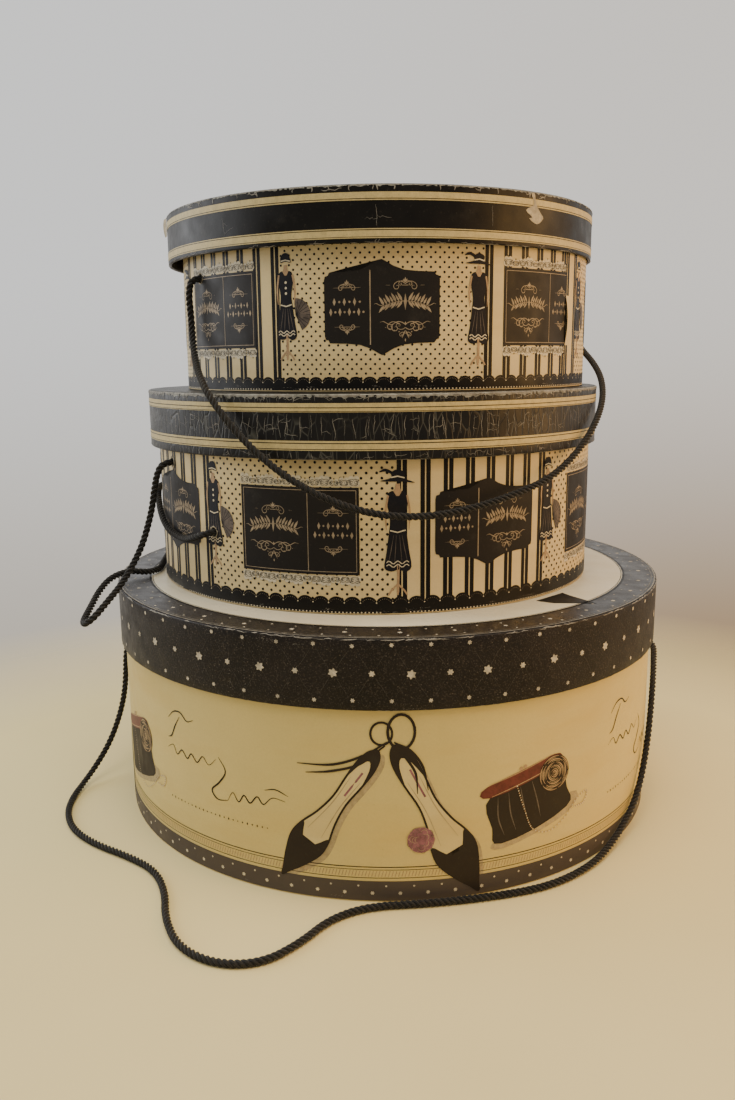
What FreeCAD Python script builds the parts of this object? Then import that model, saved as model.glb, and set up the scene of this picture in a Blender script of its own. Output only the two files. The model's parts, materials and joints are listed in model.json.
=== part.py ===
"""Stack of three round paperboard hat boxes with lift-off lids and cord handles.

Frame: millimetres, +Z up, origin at the centre of the bottom box's underside,
front of the stack towards -Y. Each box is a rolled board tube closed by a board disc,
covered outside with printed paper that turns over every cut edge, lined inside with
plain paper, and carried by a cord whose two ends pass through holes in the wall and
are knotted inside. Each lid is a board disc set into a rolled board rim.
"""
import FreeCAD, Part
import math
import os

BOXES = ("bottom", "middle", "top")
BEND_SHARE = 0.45  # part of a cord's straight run that the bend at its end may take

# Driving dimensions in millimetres (angles in degrees), shared by all three boxes.
SHARED_SIZES = {
    "paper": 0.25,          # printed cover paper
    "lining_paper": 0.20,   # plain lining paper
    "glue": 0.05,           # glue line between two layers
    "rest_gap": 0.30,       # play between a lid and the wall it rests on
    "turn_over": 12.0,      # width of cover paper folded over a cut edge
    "base_margin": 0.80,    # underside paper stops short of the wall by this
    "top_margin": 0.80,     # lid's top paper stops short of the rim by this
    "cord": 4.0,            # cord diameter
    "cord_hole": 6.0,       # hole punched in the wall for the cord
    "knot_radius": 5.5,
    "knot_length": 9.0,
    "knot_round": 2.5,
    "knot_play": 0.35,      # gap between a knot and the lining it stops against
    "cord_stand_off": 6.0,  # straight stretch of cord outside each hole
    "lining_step": 3.0,     # wall lining ends this far below the wall's top
    "punch_depth": 10.0,    # punch starts this far inside the wall's outside
    "punch_length": 20.0,
}

# Driving dimensions of each box. Radii are the outsides of the cover papers, and a box
# stands 0.2 mm above the lid under it.
BOX_SIZES = {
    "bottom": {
        "centre_x": 0.0, "centre_y": 0.0, "lid_centre_x": 0.0, "lid_centre_y": 0.0,
        "stand": 0.0, "wall_radius": 187.3, "wall_board": 2.0,
        "lid_radius": 190.0, "lid_low": 116.0, "lid_top": 157.0,
        "rim_board": 1.5, "disc_board": 2.0,
        "hole_one_angle": 180.0, "hole_one_level": 98.0,
        "hole_two_angle": 0.0, "hole_two_level": 98.0,
    },
    "middle": {
        "centre_x": -8.0, "centre_y": 8.0, "lid_centre_x": -9.0, "lid_centre_y": 7.5,
        "stand": 157.2, "wall_radius": 151.2, "wall_board": 1.8,
        "lid_radius": 155.7, "lid_low": 248.0, "lid_top": 285.0,
        "rim_board": 1.4, "disc_board": 1.8,
        "hole_one_angle": 211.5, "hole_one_level": 240.0,
        "hole_two_angle": 230.0, "hole_two_level": 200.5,
    },
    "top": {
        "centre_x": 0.0, "centre_y": 11.0, "lid_centre_x": -3.5, "lid_centre_y": 11.0,
        "stand": 285.2, "wall_radius": 138.2, "wall_board": 1.6,
        "lid_radius": 144.2, "lid_low": 366.0, "lid_top": 397.0,
        "rim_board": 1.3, "disc_board": 1.6,
        "hole_one_angle": 214.0, "hole_one_level": 354.0,
        "hole_two_angle": 34.0, "hole_two_level": 354.0,
    },
}

# Free part of each cord, between the straight stretches outside its two holes.
CORD_ROUTES = {
    "bottom": [
        (-196, 0, 89), (-196.5, -1, 75), (-198, -4, 57), (-202, -9, 40), (-207.5, -16, 24.5),
        (-215, -27, 11), (-221, -43, 3), (-222, -63, 2.3), (-218, -86, 2.3),
        (-206, -109, 2.3), (-186, -127, 2.3), (-162, -141, 2.3), (-141, -157, 2.3),
        (-129, -180, 2.3), (-123, -207, 2.3), (-110, -233, 2.3), (-88, -247, 2.3),
        (-64, -246, 2.3), (-46, -229, 2.3), (-32, -208, 2.3), (-11, -195.5, 2.3),
        (22, -192.5, 2.3), (58, -186, 2.3), (94, -175, 2.3), (123, -153, 2.5),
        (141, -130, 5), (153, -113.5, 11), (162, -101, 19), (169, -89, 30),
        (176, -74.5, 48), (181.5, -60, 68), (187, -43, 84), (192, -25, 92), (196, -10, 96.5),
    ],
    "middle": [
        (-146, -76, 234), (-149, -74, 223), (-151, -74, 211),
        (-154, -76, 199), (-158, -79, 186), (-163, -86, 174.5), (-168, -96, 164.5),
        (-174, -108, 156.5), (-180, -116, 149), (-186.5, -117, 144.5), (-190, -107, 144.5),
        (-190, -91, 149), (-189, -76, 155.5), (-185, -61, 161.5), (-176, -47, 163),
        (-165, -40, 160), (-160, -26, 159.6), (-162.5, -8, 159.6), (-164, 12, 160.5),
        (-161.5, 31, 167), (-159, 40, 181), (-159, 39, 197), (-162, 27, 210), (-164, 8, 216),
        (-161.5, -14, 214), (-156.5, -33, 208.5), (-151, -50, 201.5), (-143.5, -66, 195.5),
        (-133.5, -81.5, 193), (-124.5, -97, 194), (-116.5, -108, 197.5),
    ],
    "top": [
        (-122, -69, 345), (-122, -65, 332), (-121, -67, 320), (-118.5, -77, 309),
        (-114.5, -92, 300), (-109, -109, 293), (-103, -123.5, 286), (-93.5, -132, 273.5),
        (-78, -140, 256.5), (-57, -147.5, 239.5), (-33, -152.5, 226.5), (-6, -154.5, 218),
        (22, -152, 216), (49, -144, 219.5), (75, -131, 225.5), (99, -113.5, 233),
        (119, -91, 246), (134.5, -67, 261.5), (145, -40, 276), (149.5, -14, 289),
        (149.5, 13, 299.5), (147, 40, 308.5), (143.5, 63, 320), (136, 83, 334), (127.5, 91.5, 346),
    ],
}

doc = FreeCAD.newDocument("hat_box_stack")
sheet = doc.addObject("Spreadsheet::Sheet", "Sizes")
nodes = []


def fill_sheet():
    """Write every driving dimension to its own cell, named by an alias."""
    sizes = dict(SHARED_SIZES)
    for box in BOXES:
        for word, value in BOX_SIZES[box].items():
            sizes[box + "_" + word] = value
    for row, (alias, value) in enumerate(sizes.items(), start=1):
        sheet.set("A%d" % row, alias)
        sheet.set("B%d" % row, str(value))
        sheet.setAlias("B%d" % row, alias)
    doc.recompute()


def size(alias):
    return float(sheet.get(alias))


def cell(alias):
    """Expression text for one cell of the sheet."""
    return "Sizes." + alias


def disc(name, centre, radius, low, high):
    """Solid cylinder between two levels; every size is an expression on the sheet."""
    item = doc.addObject("Part::Cylinder", name)
    item.setExpression("Radius", radius)
    item.setExpression("Height", "(%s) - (%s)" % (high, low))
    item.setExpression("Placement.Base.x", centre[0])
    item.setExpression("Placement.Base.y", centre[1])
    item.setExpression("Placement.Base.z", low)
    return item


def ring(name, centre, outer, inner, low, high):
    """Tube or flat ring between two radii and two levels."""
    item = doc.addObject("Part::Cut", name)
    item.Base = disc(name + "_outside", centre, outer, low, high)
    item.Tool = disc(name + "_inside", centre, inner, low, high)
    return item


def joined(name, pieces):
    item = doc.addObject("Part::MultiFuse", name)
    item.Shapes = pieces
    item.Refine = True
    return item


def punched(name, base, tool):
    item = doc.addObject("Part::Cut", name)
    item.Base = base
    item.Tool = tool
    return item


def make_node(item, name):
    """Give a finished piece the name that its file carries."""
    item.Label = name
    nodes.append((name, item))


def hole_direction(box, hole):
    angle = math.radians(size("%s_hole_%s_angle" % (box, hole)))
    return FreeCAD.Vector(math.cos(angle), math.sin(angle), 0)


def point_at_hole(box, hole, radius):
    """Point on a cord hole's axis, at a distance from the box's own axis."""
    foot = FreeCAD.Vector(size(box + "_centre_x"), size(box + "_centre_y"),
                          size("%s_hole_%s_level" % (box, hole)))
    return foot + hole_direction(box, hole) * radius


def radial_cylinder(name, box, hole, radius, length, start):
    """Cylinder lying on a cord hole's axis, starting at a distance from the box's axis."""
    item = doc.addObject("Part::Cylinder", name)
    item.setExpression("Radius", radius)
    item.setExpression("Height", length)
    turn = FreeCAD.Rotation(FreeCAD.Vector(0, 0, 1), hole_direction(box, hole))
    item.Placement = FreeCAD.Placement(point_at_hole(box, hole, start), turn)
    return item


def knot_face(box):
    """Distance from the box's axis to the face of a knot that the cord leaves."""
    layers = size("paper") + 2 * size("lining_paper") + 3 * size("glue")
    lining_inside = size(box + "_wall_radius") - layers - size(box + "_wall_board")
    return lining_inside - size("knot_play")


def cord_holes(box):
    """Both punches of a box, long enough to pass through every layer of the wall."""
    punches = []
    for hole in ("one", "two"):
        name = "%s_punch_%s" % (box, hole)
        start = size(box + "_wall_radius") - size("punch_depth")
        punches.append(radial_cylinder(name, box, hole, cell("cord_hole") + " / 2",
                                       cell("punch_length"), start))
    return joined(box + "_punches", punches)


def build_box(box):
    """Tube, base, cover papers and linings of one box."""
    centre = (cell(box + "_centre_x"), cell(box + "_centre_y"))
    paper, lining, glue = cell("paper"), cell("lining_paper"), cell("glue")
    stand, outside = cell(box + "_stand"), cell(box + "_wall_radius")
    skin = "%s - %s" % (outside, paper)
    board_out = "%s - %s" % (skin, glue)
    board_in = "%s - %s" % (board_out, cell(box + "_wall_board"))
    fold_out = "%s - %s" % (board_in, glue)
    fold_in = "%s - %s" % (fold_out, lining)
    lining_out = "%s - %s" % (fold_in, glue)
    lining_in = "%s - %s" % (lining_out, lining)
    wall_top = "%s - %s - %s - 2 * %s - %s - %s" % (
        cell(box + "_lid_top"), cell(box + "_disc_board"), lining, paper,
        "3 * " + glue, cell("rest_gap"))
    board_top = "%s - %s - %s" % (wall_top, paper, glue)
    under_fold = "%s + %s + %s" % (stand, paper, glue)
    board_low = "%s + %s + %s" % (under_fold, paper, glue)
    base_top = "%s + %s" % (board_low, cell(box + "_wall_board"))
    floor_level = "%s + %s" % (base_top, glue)
    holes = cord_holes(box)

    base_paper = disc(box + "_base_paper", centre, "%s - %s" % (outside, cell("base_margin")),
                      stand, "%s + %s" % (stand, paper))
    make_node(base_paper, box + "_base_paper")

    wall = ring(box + "_wall_tube", centre, board_out, board_in, board_low, board_top)
    make_node(punched(box + "_wall_board", wall, holes), box + "_wall_board")

    base = disc(box + "_base_board", centre, "%s - %s" % (board_in, glue), board_low, base_top)
    make_node(base, box + "_base_board")

    turn = cell("turn_over")
    cover = joined(box + "_cover", [
        ring(box + "_cover_side", centre, outside, skin, under_fold, wall_top),
        ring(box + "_cover_under", centre, outside, "%s - %s" % (outside, turn),
             under_fold, "%s + %s" % (under_fold, paper)),
        ring(box + "_cover_edge", centre, outside, fold_in, "%s - %s" % (wall_top, paper), wall_top),
        ring(box + "_cover_fold", centre, fold_out, fold_in, "%s - %s" % (wall_top, turn), wall_top),
    ])
    make_node(punched(box + "_wall_paper", cover, holes), box + "_wall_paper")

    inner = ring(box + "_lining_tube", centre, lining_out, lining_in, floor_level,
                 "%s - %s" % (wall_top, cell("lining_step")))
    make_node(punched(box + "_wall_lining", inner, holes), box + "_wall_lining")

    floor = disc(box + "_base_lining", centre, "%s - %s" % (lining_in, glue),
                 floor_level, "%s + %s" % (floor_level, lining))
    make_node(floor, box + "_base_lining")


def build_lid(box):
    """Rim, disc, papers and lining of one lid."""
    centre = (cell(box + "_lid_centre_x"), cell(box + "_lid_centre_y"))
    paper, lining, glue = cell("paper"), cell("lining_paper"), cell("glue")
    outside, low, top = cell(box + "_lid_radius"), cell(box + "_lid_low"), cell(box + "_lid_top")
    skin = "%s - %s" % (outside, paper)
    board_out = "%s - %s" % (skin, glue)
    board_in = "%s - %s" % (board_out, cell(box + "_rim_board"))
    fold_out = "%s - %s" % (board_in, glue)
    fold_in = "%s - %s" % (fold_out, lining)
    fold_top = "%s - %s - %s" % (top, paper, glue)
    board_top = "%s - %s - %s" % (fold_top, paper, glue)
    board_low = "%s + %s + %s" % (low, paper, glue)
    disc_low = "%s - %s" % (board_top, cell(box + "_disc_board"))
    turn = cell("turn_over")

    rim = ring(box + "_lid_rim_board", centre, board_out, board_in, board_low, board_top)
    make_node(rim, box + "_lid_rim_board")

    panel = disc(box + "_lid_disc_board", centre, "%s - %s" % (board_in, glue), disc_low, board_top)
    make_node(panel, box + "_lid_disc_board")

    band = joined(box + "_lid_rim_paper", [
        ring(box + "_band_side", centre, outside, skin, low, fold_top),
        ring(box + "_band_over", centre, outside, "%s - %s" % (outside, turn),
             "%s - %s" % (fold_top, paper), fold_top),
        ring(box + "_band_hem", centre, outside, fold_in, low, "%s + %s" % (low, paper)),
        ring(box + "_band_fold", centre, fold_out, fold_in, low, "%s + %s" % (low, turn)),
    ])
    make_node(band, box + "_lid_rim_paper")

    face = disc(box + "_lid_top_paper", centre, "%s - %s" % (outside, cell("top_margin")),
                "%s - %s" % (top, paper), top)
    make_node(face, box + "_lid_top_paper")

    under = disc(box + "_lid_lining", centre, "%s - 2 * %s" % (board_in, glue),
                 "%s - %s - %s" % (disc_low, glue, lining), "%s - %s" % (disc_low, glue))
    make_node(under, box + "_lid_lining")


def build_knots(box):
    """The two stopper knots that keep the cord's ends inside the wall."""
    knots = []
    for hole in ("one", "two"):
        name = "%s_knot_%s" % (box, hole)
        start = knot_face(box) - size("knot_length")
        barrel = radial_cylinder(name + "_barrel", box, hole, cell("knot_radius"),
                                 cell("knot_length"), start)
        doc.recompute()
        rounded = doc.addObject("Part::Fillet", name)
        rounded.Base = barrel
        rims = [number for number, edge in enumerate(barrel.Shape.Edges, start=1)
                if isinstance(edge.Curve, Part.Circle)]
        rounded.Edges = [(number, size("knot_round"), size("knot_round")) for number in rims]
        knots.append(rounded)
    pair = doc.addObject("Part::Compound", box + "_cord_knots")
    pair.Links = knots
    make_node(pair, box + "_cord_knots")


def rounded_path(points):
    """Straight runs joined by tangent arcs, with the arcs' radii."""
    edges, radii = [], []
    begin = points[0]
    for before, corner, after in zip(points, points[1:], points[2:]):
        incoming, outgoing = corner - before, after - corner
        reach = BEND_SHARE * min(incoming.Length, outgoing.Length)
        half_turn = incoming.getAngle(outgoing) / 2
        radius = reach / math.tan(half_turn)
        incoming.normalize()
        outgoing.normalize()
        arc_start, arc_end = corner - incoming * reach, corner + outgoing * reach
        towards = outgoing - incoming
        towards.normalize()
        middle = corner + towards * (radius / math.cos(half_turn) - radius)
        edges.append(Part.LineSegment(begin, arc_start).toShape())
        edges.append(Part.Arc(arc_start, middle, arc_end).toShape())
        radii.append(radius)
        begin = arc_end
    edges.append(Part.LineSegment(begin, points[-1]).toShape())
    return Part.Wire(edges), radii


def build_cord(box):
    """Cord from knot to knot: through one hole, along its route, in at the other."""
    face = knot_face(box)
    outside = size(box + "_wall_radius") + size("cord_stand_off")
    points = [point_at_hole(box, "one", face), point_at_hole(box, "one", outside)]
    points += [FreeCAD.Vector(*spot) for spot in CORD_ROUTES[box]]
    points += [point_at_hole(box, "two", outside), point_at_hole(box, "two", face)]
    path, radii = rounded_path(points)
    radius = size("cord") / 2
    section = Part.Wire([Part.makeCircle(radius, points[0], hole_direction(box, "one"))])
    cord = doc.addObject("Part::Feature", box + "_cord")
    cord.Shape = path.makePipeShell([section], True, False)
    cord.Placement = FreeCAD.Placement()
    make_node(cord, box + "_cord")
    expected = math.pi * radius ** 2 * path.Length
    ratio = cord.Shape.Volume / expected
    print("%s cord: length %.0f mm, volume ratio %.4f" % (box, path.Length, ratio))
    print("  arc radii in diameters: " + " ".join("%.1f" % (r / (2 * radius)) for r in radii))


def check_document():
    """Stop if anything failed to compute or any piece isn't a valid solid."""
    doc.recompute()
    for item in doc.Objects:
        if "Invalid" in item.State or "Error" in item.State:
            raise RuntimeError("%s did not compute: %s" % (item.Label, item.State))
    for name, item in nodes:
        shape = item.Shape
        if shape.isNull() or not shape.isValid() or not shape.Solids:
            raise RuntimeError(name + " isn't a valid solid")


fill_sheet()
for box in BOXES:
    build_box(box)
    build_lid(box)
    build_knots(box)
    build_cord(box)
check_document()
os.makedirs("parts", exist_ok=True)
for name, item in nodes:
    item.Shape.exportStep("parts/%s.step" % name)
print("%d nodes written" % len(nodes))
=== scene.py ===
import json
import math
import random

import bmesh
import bpy
from mathutils import Matrix, Vector

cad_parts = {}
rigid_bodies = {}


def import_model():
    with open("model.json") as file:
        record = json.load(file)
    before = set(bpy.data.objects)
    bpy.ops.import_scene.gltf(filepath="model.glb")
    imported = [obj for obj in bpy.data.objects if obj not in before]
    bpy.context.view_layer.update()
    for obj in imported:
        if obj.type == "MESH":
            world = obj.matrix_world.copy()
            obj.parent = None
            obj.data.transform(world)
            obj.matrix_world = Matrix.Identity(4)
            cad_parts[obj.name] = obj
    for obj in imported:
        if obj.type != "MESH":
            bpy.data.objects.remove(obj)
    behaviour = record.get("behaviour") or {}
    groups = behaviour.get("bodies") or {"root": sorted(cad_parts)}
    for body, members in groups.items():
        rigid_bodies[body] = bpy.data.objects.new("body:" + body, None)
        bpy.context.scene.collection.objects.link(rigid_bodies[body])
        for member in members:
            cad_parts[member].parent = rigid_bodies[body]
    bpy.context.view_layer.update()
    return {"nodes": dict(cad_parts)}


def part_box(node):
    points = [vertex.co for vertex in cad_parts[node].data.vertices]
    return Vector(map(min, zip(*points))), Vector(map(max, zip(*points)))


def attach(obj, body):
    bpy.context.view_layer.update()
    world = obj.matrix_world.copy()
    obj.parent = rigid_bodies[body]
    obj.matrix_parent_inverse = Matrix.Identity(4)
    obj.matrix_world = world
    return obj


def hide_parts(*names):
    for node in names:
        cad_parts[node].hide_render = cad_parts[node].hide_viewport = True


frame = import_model()
dice = random.Random(7)

# Lengths are in metres, except in the prints, which are drawn in millimetres.
MM = 0.001
BOXES = ("bottom", "middle", "top")
BLACK = (0.0048, 0.0042, 0.0038)

# How far the printed shapes stand off the paper, so that each covers the one below.
GROUND, SHAPE, FIGURE, DETAIL, TOP, OVER = 0.06, 0.12, 0.18, 0.24, 0.30, 0.35
STRIP_WIDTH = 4.0  # widest flat piece of a print on a curved wall, in millimetres


# ---- materials


class Nodes:
    """Fills a node tree with noise, ramps and mixes."""

    def __init__(self, tree, space):
        self.tree = tree
        self.position = self.wire("ShaderNodeTexCoord", space)

    def wire(self, kind, output, inputs=(), **settings):
        """Adds a node, fills its inputs and gives one of its outputs."""
        node = self.tree.nodes.new(kind)
        for name, value in settings.items():
            setattr(node, name, value)
        for name, value in dict(inputs).items():
            self.put(value, node.inputs[name])
        return node.outputs[output]

    def put(self, value, socket):
        if isinstance(value, bpy.types.NodeSocket):
            self.tree.links.new(value, socket)
        elif isinstance(value, tuple) and len(value) == 3 and socket.type == "RGBA":
            socket.default_value = (*value, 1)
        else:
            socket.default_value = value

    def ramp(self, value, low, high, to_low=0.0, to_high=1.0, curve="LINEAR"):
        inputs = {"Value": value, "From Min": low, "From Max": high,
                  "To Min": to_low, "To Max": to_high}
        return self.wire("ShaderNodeMapRange", "Result", inputs, clamp=True,
                         interpolation_type=curve)

    def mix(self, factor, first, second):
        colours = {0: factor, 6: first, 7: second}
        return self.wire("ShaderNodeMix", 2, colours, data_type="RGBA")


class Finish(Nodes):
    """A material of one shader, whose colour, gloss and relief vary over the surface."""

    def __init__(self, name):
        self.material = bpy.data.materials.new(name)
        self.material.use_nodes = True
        super().__init__(self.material.node_tree, "Object")
        self.shader = self.tree.nodes["Principled BSDF"]

    def stretched(self, x, y, z):
        inputs = {"Vector": self.position, "Scale": (x, y, z)}
        return self.wire("ShaderNodeMapping", "Vector", inputs)

    def noise(self, scale, detail=3.0, roughness=0.55, position=None):
        inputs = {"Vector": position or self.position, "Scale": scale, "Detail": detail,
                  "Roughness": roughness}
        return self.wire("ShaderNodeTexNoise", "Fac", inputs)

    def cells(self, scale, feature="F1", position=None):
        inputs = {"Vector": position or self.position, "Scale": scale}
        return self.wire("ShaderNodeTexVoronoi", "Distance", inputs, feature=feature)

    def add(self, first, second, operation="ADD"):
        return self.wire("ShaderNodeMath", 0, {0: first, 1: second}, operation=operation)

    def times(self, first, second):
        return self.add(first, second, "MULTIPLY")

    def tint(self, base, mask, low, high, amount, colour):
        """Lays a colour over the base where the mask is high, up to an amount."""
        return self.mix(self.ramp(mask, low, high, 0.0, amount), base, colour)

    def specks(self, base, scale, size, amount, colour):
        return self.mix(self.ramp(self.cells(scale), 0.0, size, amount, 0.0), base, colour)

    def uneven(self, scale, detail, low, high):
        return self.ramp(self.noise(scale, detail), 0.3, 0.7, low, high)

    def relief(self, fine, detail, broad, share):
        """Fine grain over broad waves."""
        return self.add(self.noise(fine, detail), self.times(self.noise(broad, 2), share))

    def finish(self, colour, roughness, bump=None, strength=0.3, depth=0.0003, **settings):
        if bump is not None:
            inputs = {"Strength": strength, "Distance": depth, "Height": bump}
            settings["Normal"] = self.wire("ShaderNodeBump", "Normal", inputs)
        settings.update({"Base Color": colour, "Roughness": roughness})
        for name, value in settings.items():
            self.put(value, self.shader.inputs[name.replace("_", " ")])
        return self.material


def darker(colour, part):
    return tuple(c * part for c in colour)


def printed_paper(name, colour, stain=(0.72, 0.60, 0.42), stain_amount=0.55, gloss=0.5):
    """Printed paper: stained streaks, cloudy ageing, fine grain and a few brown specks."""
    f = Finish(name)
    stained = tuple(c * s for c, s in zip(colour, stain))
    streaks = f.noise(9, 5, 0.6, f.stretched(1, 1, 4))
    aged = f.tint(colour, streaks, 0.45, 0.75, stain_amount, stained)
    cloud = f.times(f.ramp(f.noise(14, 4), 0.42, 0.70), 0.25)
    aged = f.mix(cloud, aged, darker(colour, 0.80))
    aged = f.tint(aged, f.noise(900, 2), 0.35, 0.65, 0.16, darker(colour, 0.72))
    aged = f.specks(aged, 160, 0.055, 0.55, darker(colour, 0.38))
    dull = f.uneven(60, 3, gloss - 0.08, gloss + 0.12)
    return f.finish(aged, dull, f.relief(420, 3, 45, 1.6), 0.30, 0.0002, Specular_IOR_Level=0.42)


def black_ink(name, colour=BLACK, gloss=0.40, rubbed=0.35):
    """Black print with a varnish sheen, rubbed grey in patches."""
    f = Finish(name)
    dusty = f.tint(colour, f.noise(38, 6, 0.7), 0.58, 0.85, rubbed, (0.045, 0.041, 0.035))
    dusty = f.tint(dusty, f.noise(700, 2), 0.62, 0.80, 0.35, (0.06, 0.052, 0.040))
    dull = f.uneven(70, 4, gloss - 0.05, gloss + 0.15)
    return f.finish(dusty, dull, f.relief(500, 3, 55, 1.5), 0.25, 0.0002, Specular_IOR_Level=0.22)


def pale_ink(name, colour, mottle=0.62, gloss=0.5):
    """A plain ink with a mottled, slightly worn tone."""
    f = Finish(name)
    ink = f.tint(colour, f.noise(240, 4, 0.7), 0.38, 0.66, 1.0, darker(colour, mottle))
    ink = f.tint(ink, f.noise(1100, 2), 0.5, 0.7, 0.35, darker(colour, 0.5))
    return f.finish(ink, gloss, f.noise(500, 2), 0.2, 0.0002, Specular_IOR_Level=0.4)


def speckled_print(name, gloss=0.45, shine=0.27):
    """Dark leather-like print: cloudy tone, dense pale grain and faint scratches."""
    f = Finish(name)
    dark, light = (0.0045, 0.0036, 0.0040), (0.012, 0.0095, 0.0105)
    base = f.tint(dark, f.noise(24, 4, 0.6), 0.36, 0.68, 1.0, light)
    base = f.tint(base, f.noise(1150, 2, 0.6), 0.52, 0.70, 0.55, (0.075, 0.061, 0.055))
    base = f.specks(base, 420, 0.17, 0.75, (0.19, 0.16, 0.135))
    scratch = f.noise(26, 5, 0.65, f.stretched(5.5, 1.0, 0.9))
    base = f.tint(base, scratch, 0.66, 0.71, 0.45, (0.11, 0.095, 0.082))
    dull = f.uneven(90, 3, gloss - 0.09, gloss + 0.09)
    return f.finish(base, dull, f.relief(800, 3, 60, 1.4), 0.5, 0.0002, Specular_IOR_Level=shine)


def crackled_black(name):
    """Black varnished paper whose surface has crazed and whitened along the cracks."""
    f = Finish(name)
    crack = f.cells(210, "DISTANCE_TO_EDGE", f.stretched(1.0, 1.0, 0.30))
    patch = f.ramp(f.noise(26, 3), 0.38, 0.60)
    line = f.times(f.ramp(crack, 0.0, 0.045, 1.0, 0.0), patch)
    base = f.tint(BLACK, f.noise(30, 5, 0.65), 0.45, 0.75, 0.30, (0.022, 0.021, 0.018))
    base = f.mix(f.times(line, 0.6), base, (0.115, 0.115, 0.100))
    surface = f.add(f.ramp(crack, 0.0, 0.08), f.times(f.noise(500, 3), 0.4))
    dull = f.uneven(80, 3, 0.30, 0.46)
    return f.finish(base, dull, surface, 0.45, 0.0003, Specular_IOR_Level=0.32)


def board(name):
    """Grey cardboard with fibres and darker flecks."""
    f = Finish(name)
    fibre = f.noise(160, 6, 0.7, f.stretched(1, 1, 5))
    base = f.tint((0.34, 0.295, 0.235), fibre, 0.3, 0.7, 1.0, (0.24, 0.205, 0.16))
    base = f.specks(base, 420, 0.10, 0.7, (0.12, 0.095, 0.07))
    return f.finish(base, 0.86, f.add(fibre, f.noise(900, 2)), 0.5)


def lining(name):
    """Plain off-white lining paper, slightly yellowed."""
    f = Finish(name)
    base = f.tint((0.70, 0.66, 0.55), f.noise(11, 5), 0.35, 0.70, 1.0, (0.60, 0.535, 0.40))
    base = f.tint(base, f.noise(850, 3), 0.4, 0.65, 0.25, (0.46, 0.41, 0.31))
    return f.finish(base, 0.78, f.relief(500, 4, 28, 1.5))


def twisted_fibre(name):
    """Soft black yarn with fine fibres and a grey sheen on the crowns."""
    f = Finish(name)
    fibre = f.noise(1500, 3, 0.6, f.stretched(1, 1, 1.6))
    base = f.tint((0.0040, 0.0040, 0.0045), fibre, 0.35, 0.70, 1.0, (0.022, 0.021, 0.021))
    base = f.tint(base, f.noise(120, 3), 0.45, 0.75, 0.3, (0.030, 0.028, 0.026))
    return f.finish(base, 0.66, fibre, 0.6, 0.0004, Sheen_Weight=0.16, Sheen_Roughness=0.45,
                    Specular_IOR_Level=0.28)


def studio_floor(name):
    """Pale warm sweep that fades out into the backdrop."""
    f = Finish(name)
    centred = f.wire("ShaderNodeVectorMath", 0, {0: f.position, 1: (0, 0.12, 0)}, operation="ADD")
    away = f.wire("ShaderNodeVectorMath", "Value", {0: centred}, operation="LENGTH")
    tone = f.tint((0.76, 0.65, 0.335), f.noise(6, 2), 0.3, 0.7, 1.0, (0.73, 0.62, 0.315))
    return f.finish(tone, 0.85, Alpha=f.ramp(away, 0.36, 0.64, 1.0, 0.0))


MATERIALS = {
    "greyboard": board("greyboard_finish"),
    "underside_paper": printed_paper("underside_finish", (0.40, 0.345, 0.26), gloss=0.75),
    "lining_paper": lining("lining_finish"),
    "cream_print": printed_paper("cream_finish", (0.66, 0.535, 0.215), (0.90, 0.74, 0.46), 0.5),
    "striped_print": printed_paper("dotted_finish", (0.72, 0.575, 0.295)),
    "black_speckled_print": speckled_print("speckled_finish"),
    "banded_print": crackled_black("banded_finish"),
    "plain_black_print": crackled_black("plain_black_finish"),
    "twisted_cord": twisted_fibre("cord_finish"),
}
LID_TOP_FINISH = speckled_print("speckled_top_finish", 0.36, 0.50)
INKS = {
    "black": black_ink("black_ink"),
    "soft_black": black_ink("soft_black_ink", (0.014, 0.012, 0.011), 0.46, 0.8),
    "cream": pale_ink("cream_ink", (0.60, 0.485, 0.225), 0.80),
    "pale": pale_ink("pale_ink", (0.74, 0.655, 0.47), 0.74),
    "raw": pale_ink("torn_paper", (0.55, 0.47, 0.33), 0.60, 0.85),
    "worn": pale_ink("worn_ink", (0.30, 0.28, 0.245), 0.45, 0.55),
    "tan": pale_ink("tan_ink", (0.47, 0.31, 0.17), 0.70),
    "rose": pale_ink("rose_ink", (0.30, 0.115, 0.155), 0.50),
    "red": pale_ink("red_ink", (0.145, 0.027, 0.024), 0.55),
    "smoke": pale_ink("smoke_ink", (0.135, 0.105, 0.085), 0.45),
    "shade": pale_ink("shade_ink", (0.47, 0.37, 0.20), 0.70),
    "night": black_ink("night_ink", (0.0085, 0.0085, 0.0125), 0.45, 0.6),
    "insole": printed_paper("insole_ink", (0.70, 0.575, 0.275)),
    "rubbed": pale_ink("rubbed_ink", (0.34, 0.34, 0.305), 0.30, 0.6),
    "gilt": pale_ink("gilt_ink", (0.40, 0.31, 0.20), 0.60),
    "flower": pale_ink("flower_ink", (0.62, 0.56, 0.45), 0.50),
    "crease": pale_ink("crease_ink", (0.060, 0.052, 0.047), 0.60),
    "foot": black_ink("foot_ink", (0.082, 0.067, 0.058), 0.50, 0.6),
    "charcoal": black_ink("charcoal_ink", (0.024, 0.018, 0.015), 0.50, 0.7),
    "cream_disc": printed_paper("cream_disc_finish", (0.70, 0.655, 0.52), gloss=0.42),
}


# ---- surfaces that prints are laid on


class Table:
    """A flat round top, where shapes are drawn in x and y from its centre."""

    def __init__(self, node):
        low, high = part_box(node)
        self.x, self.y = (low.x + high.x) / 2, (low.y + high.y) / 2
        self.radius = (high.x - low.x) / 2
        self.low, self.top = low.z, high.z

    def around(self):
        """The length of the rim in the prints' millimetres."""
        return 2 * math.pi * self.radius / MM

    def place(self, x, y, lift):
        return Vector((self.x + x * MM, self.y + y * MM, self.top + lift * MM))


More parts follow.
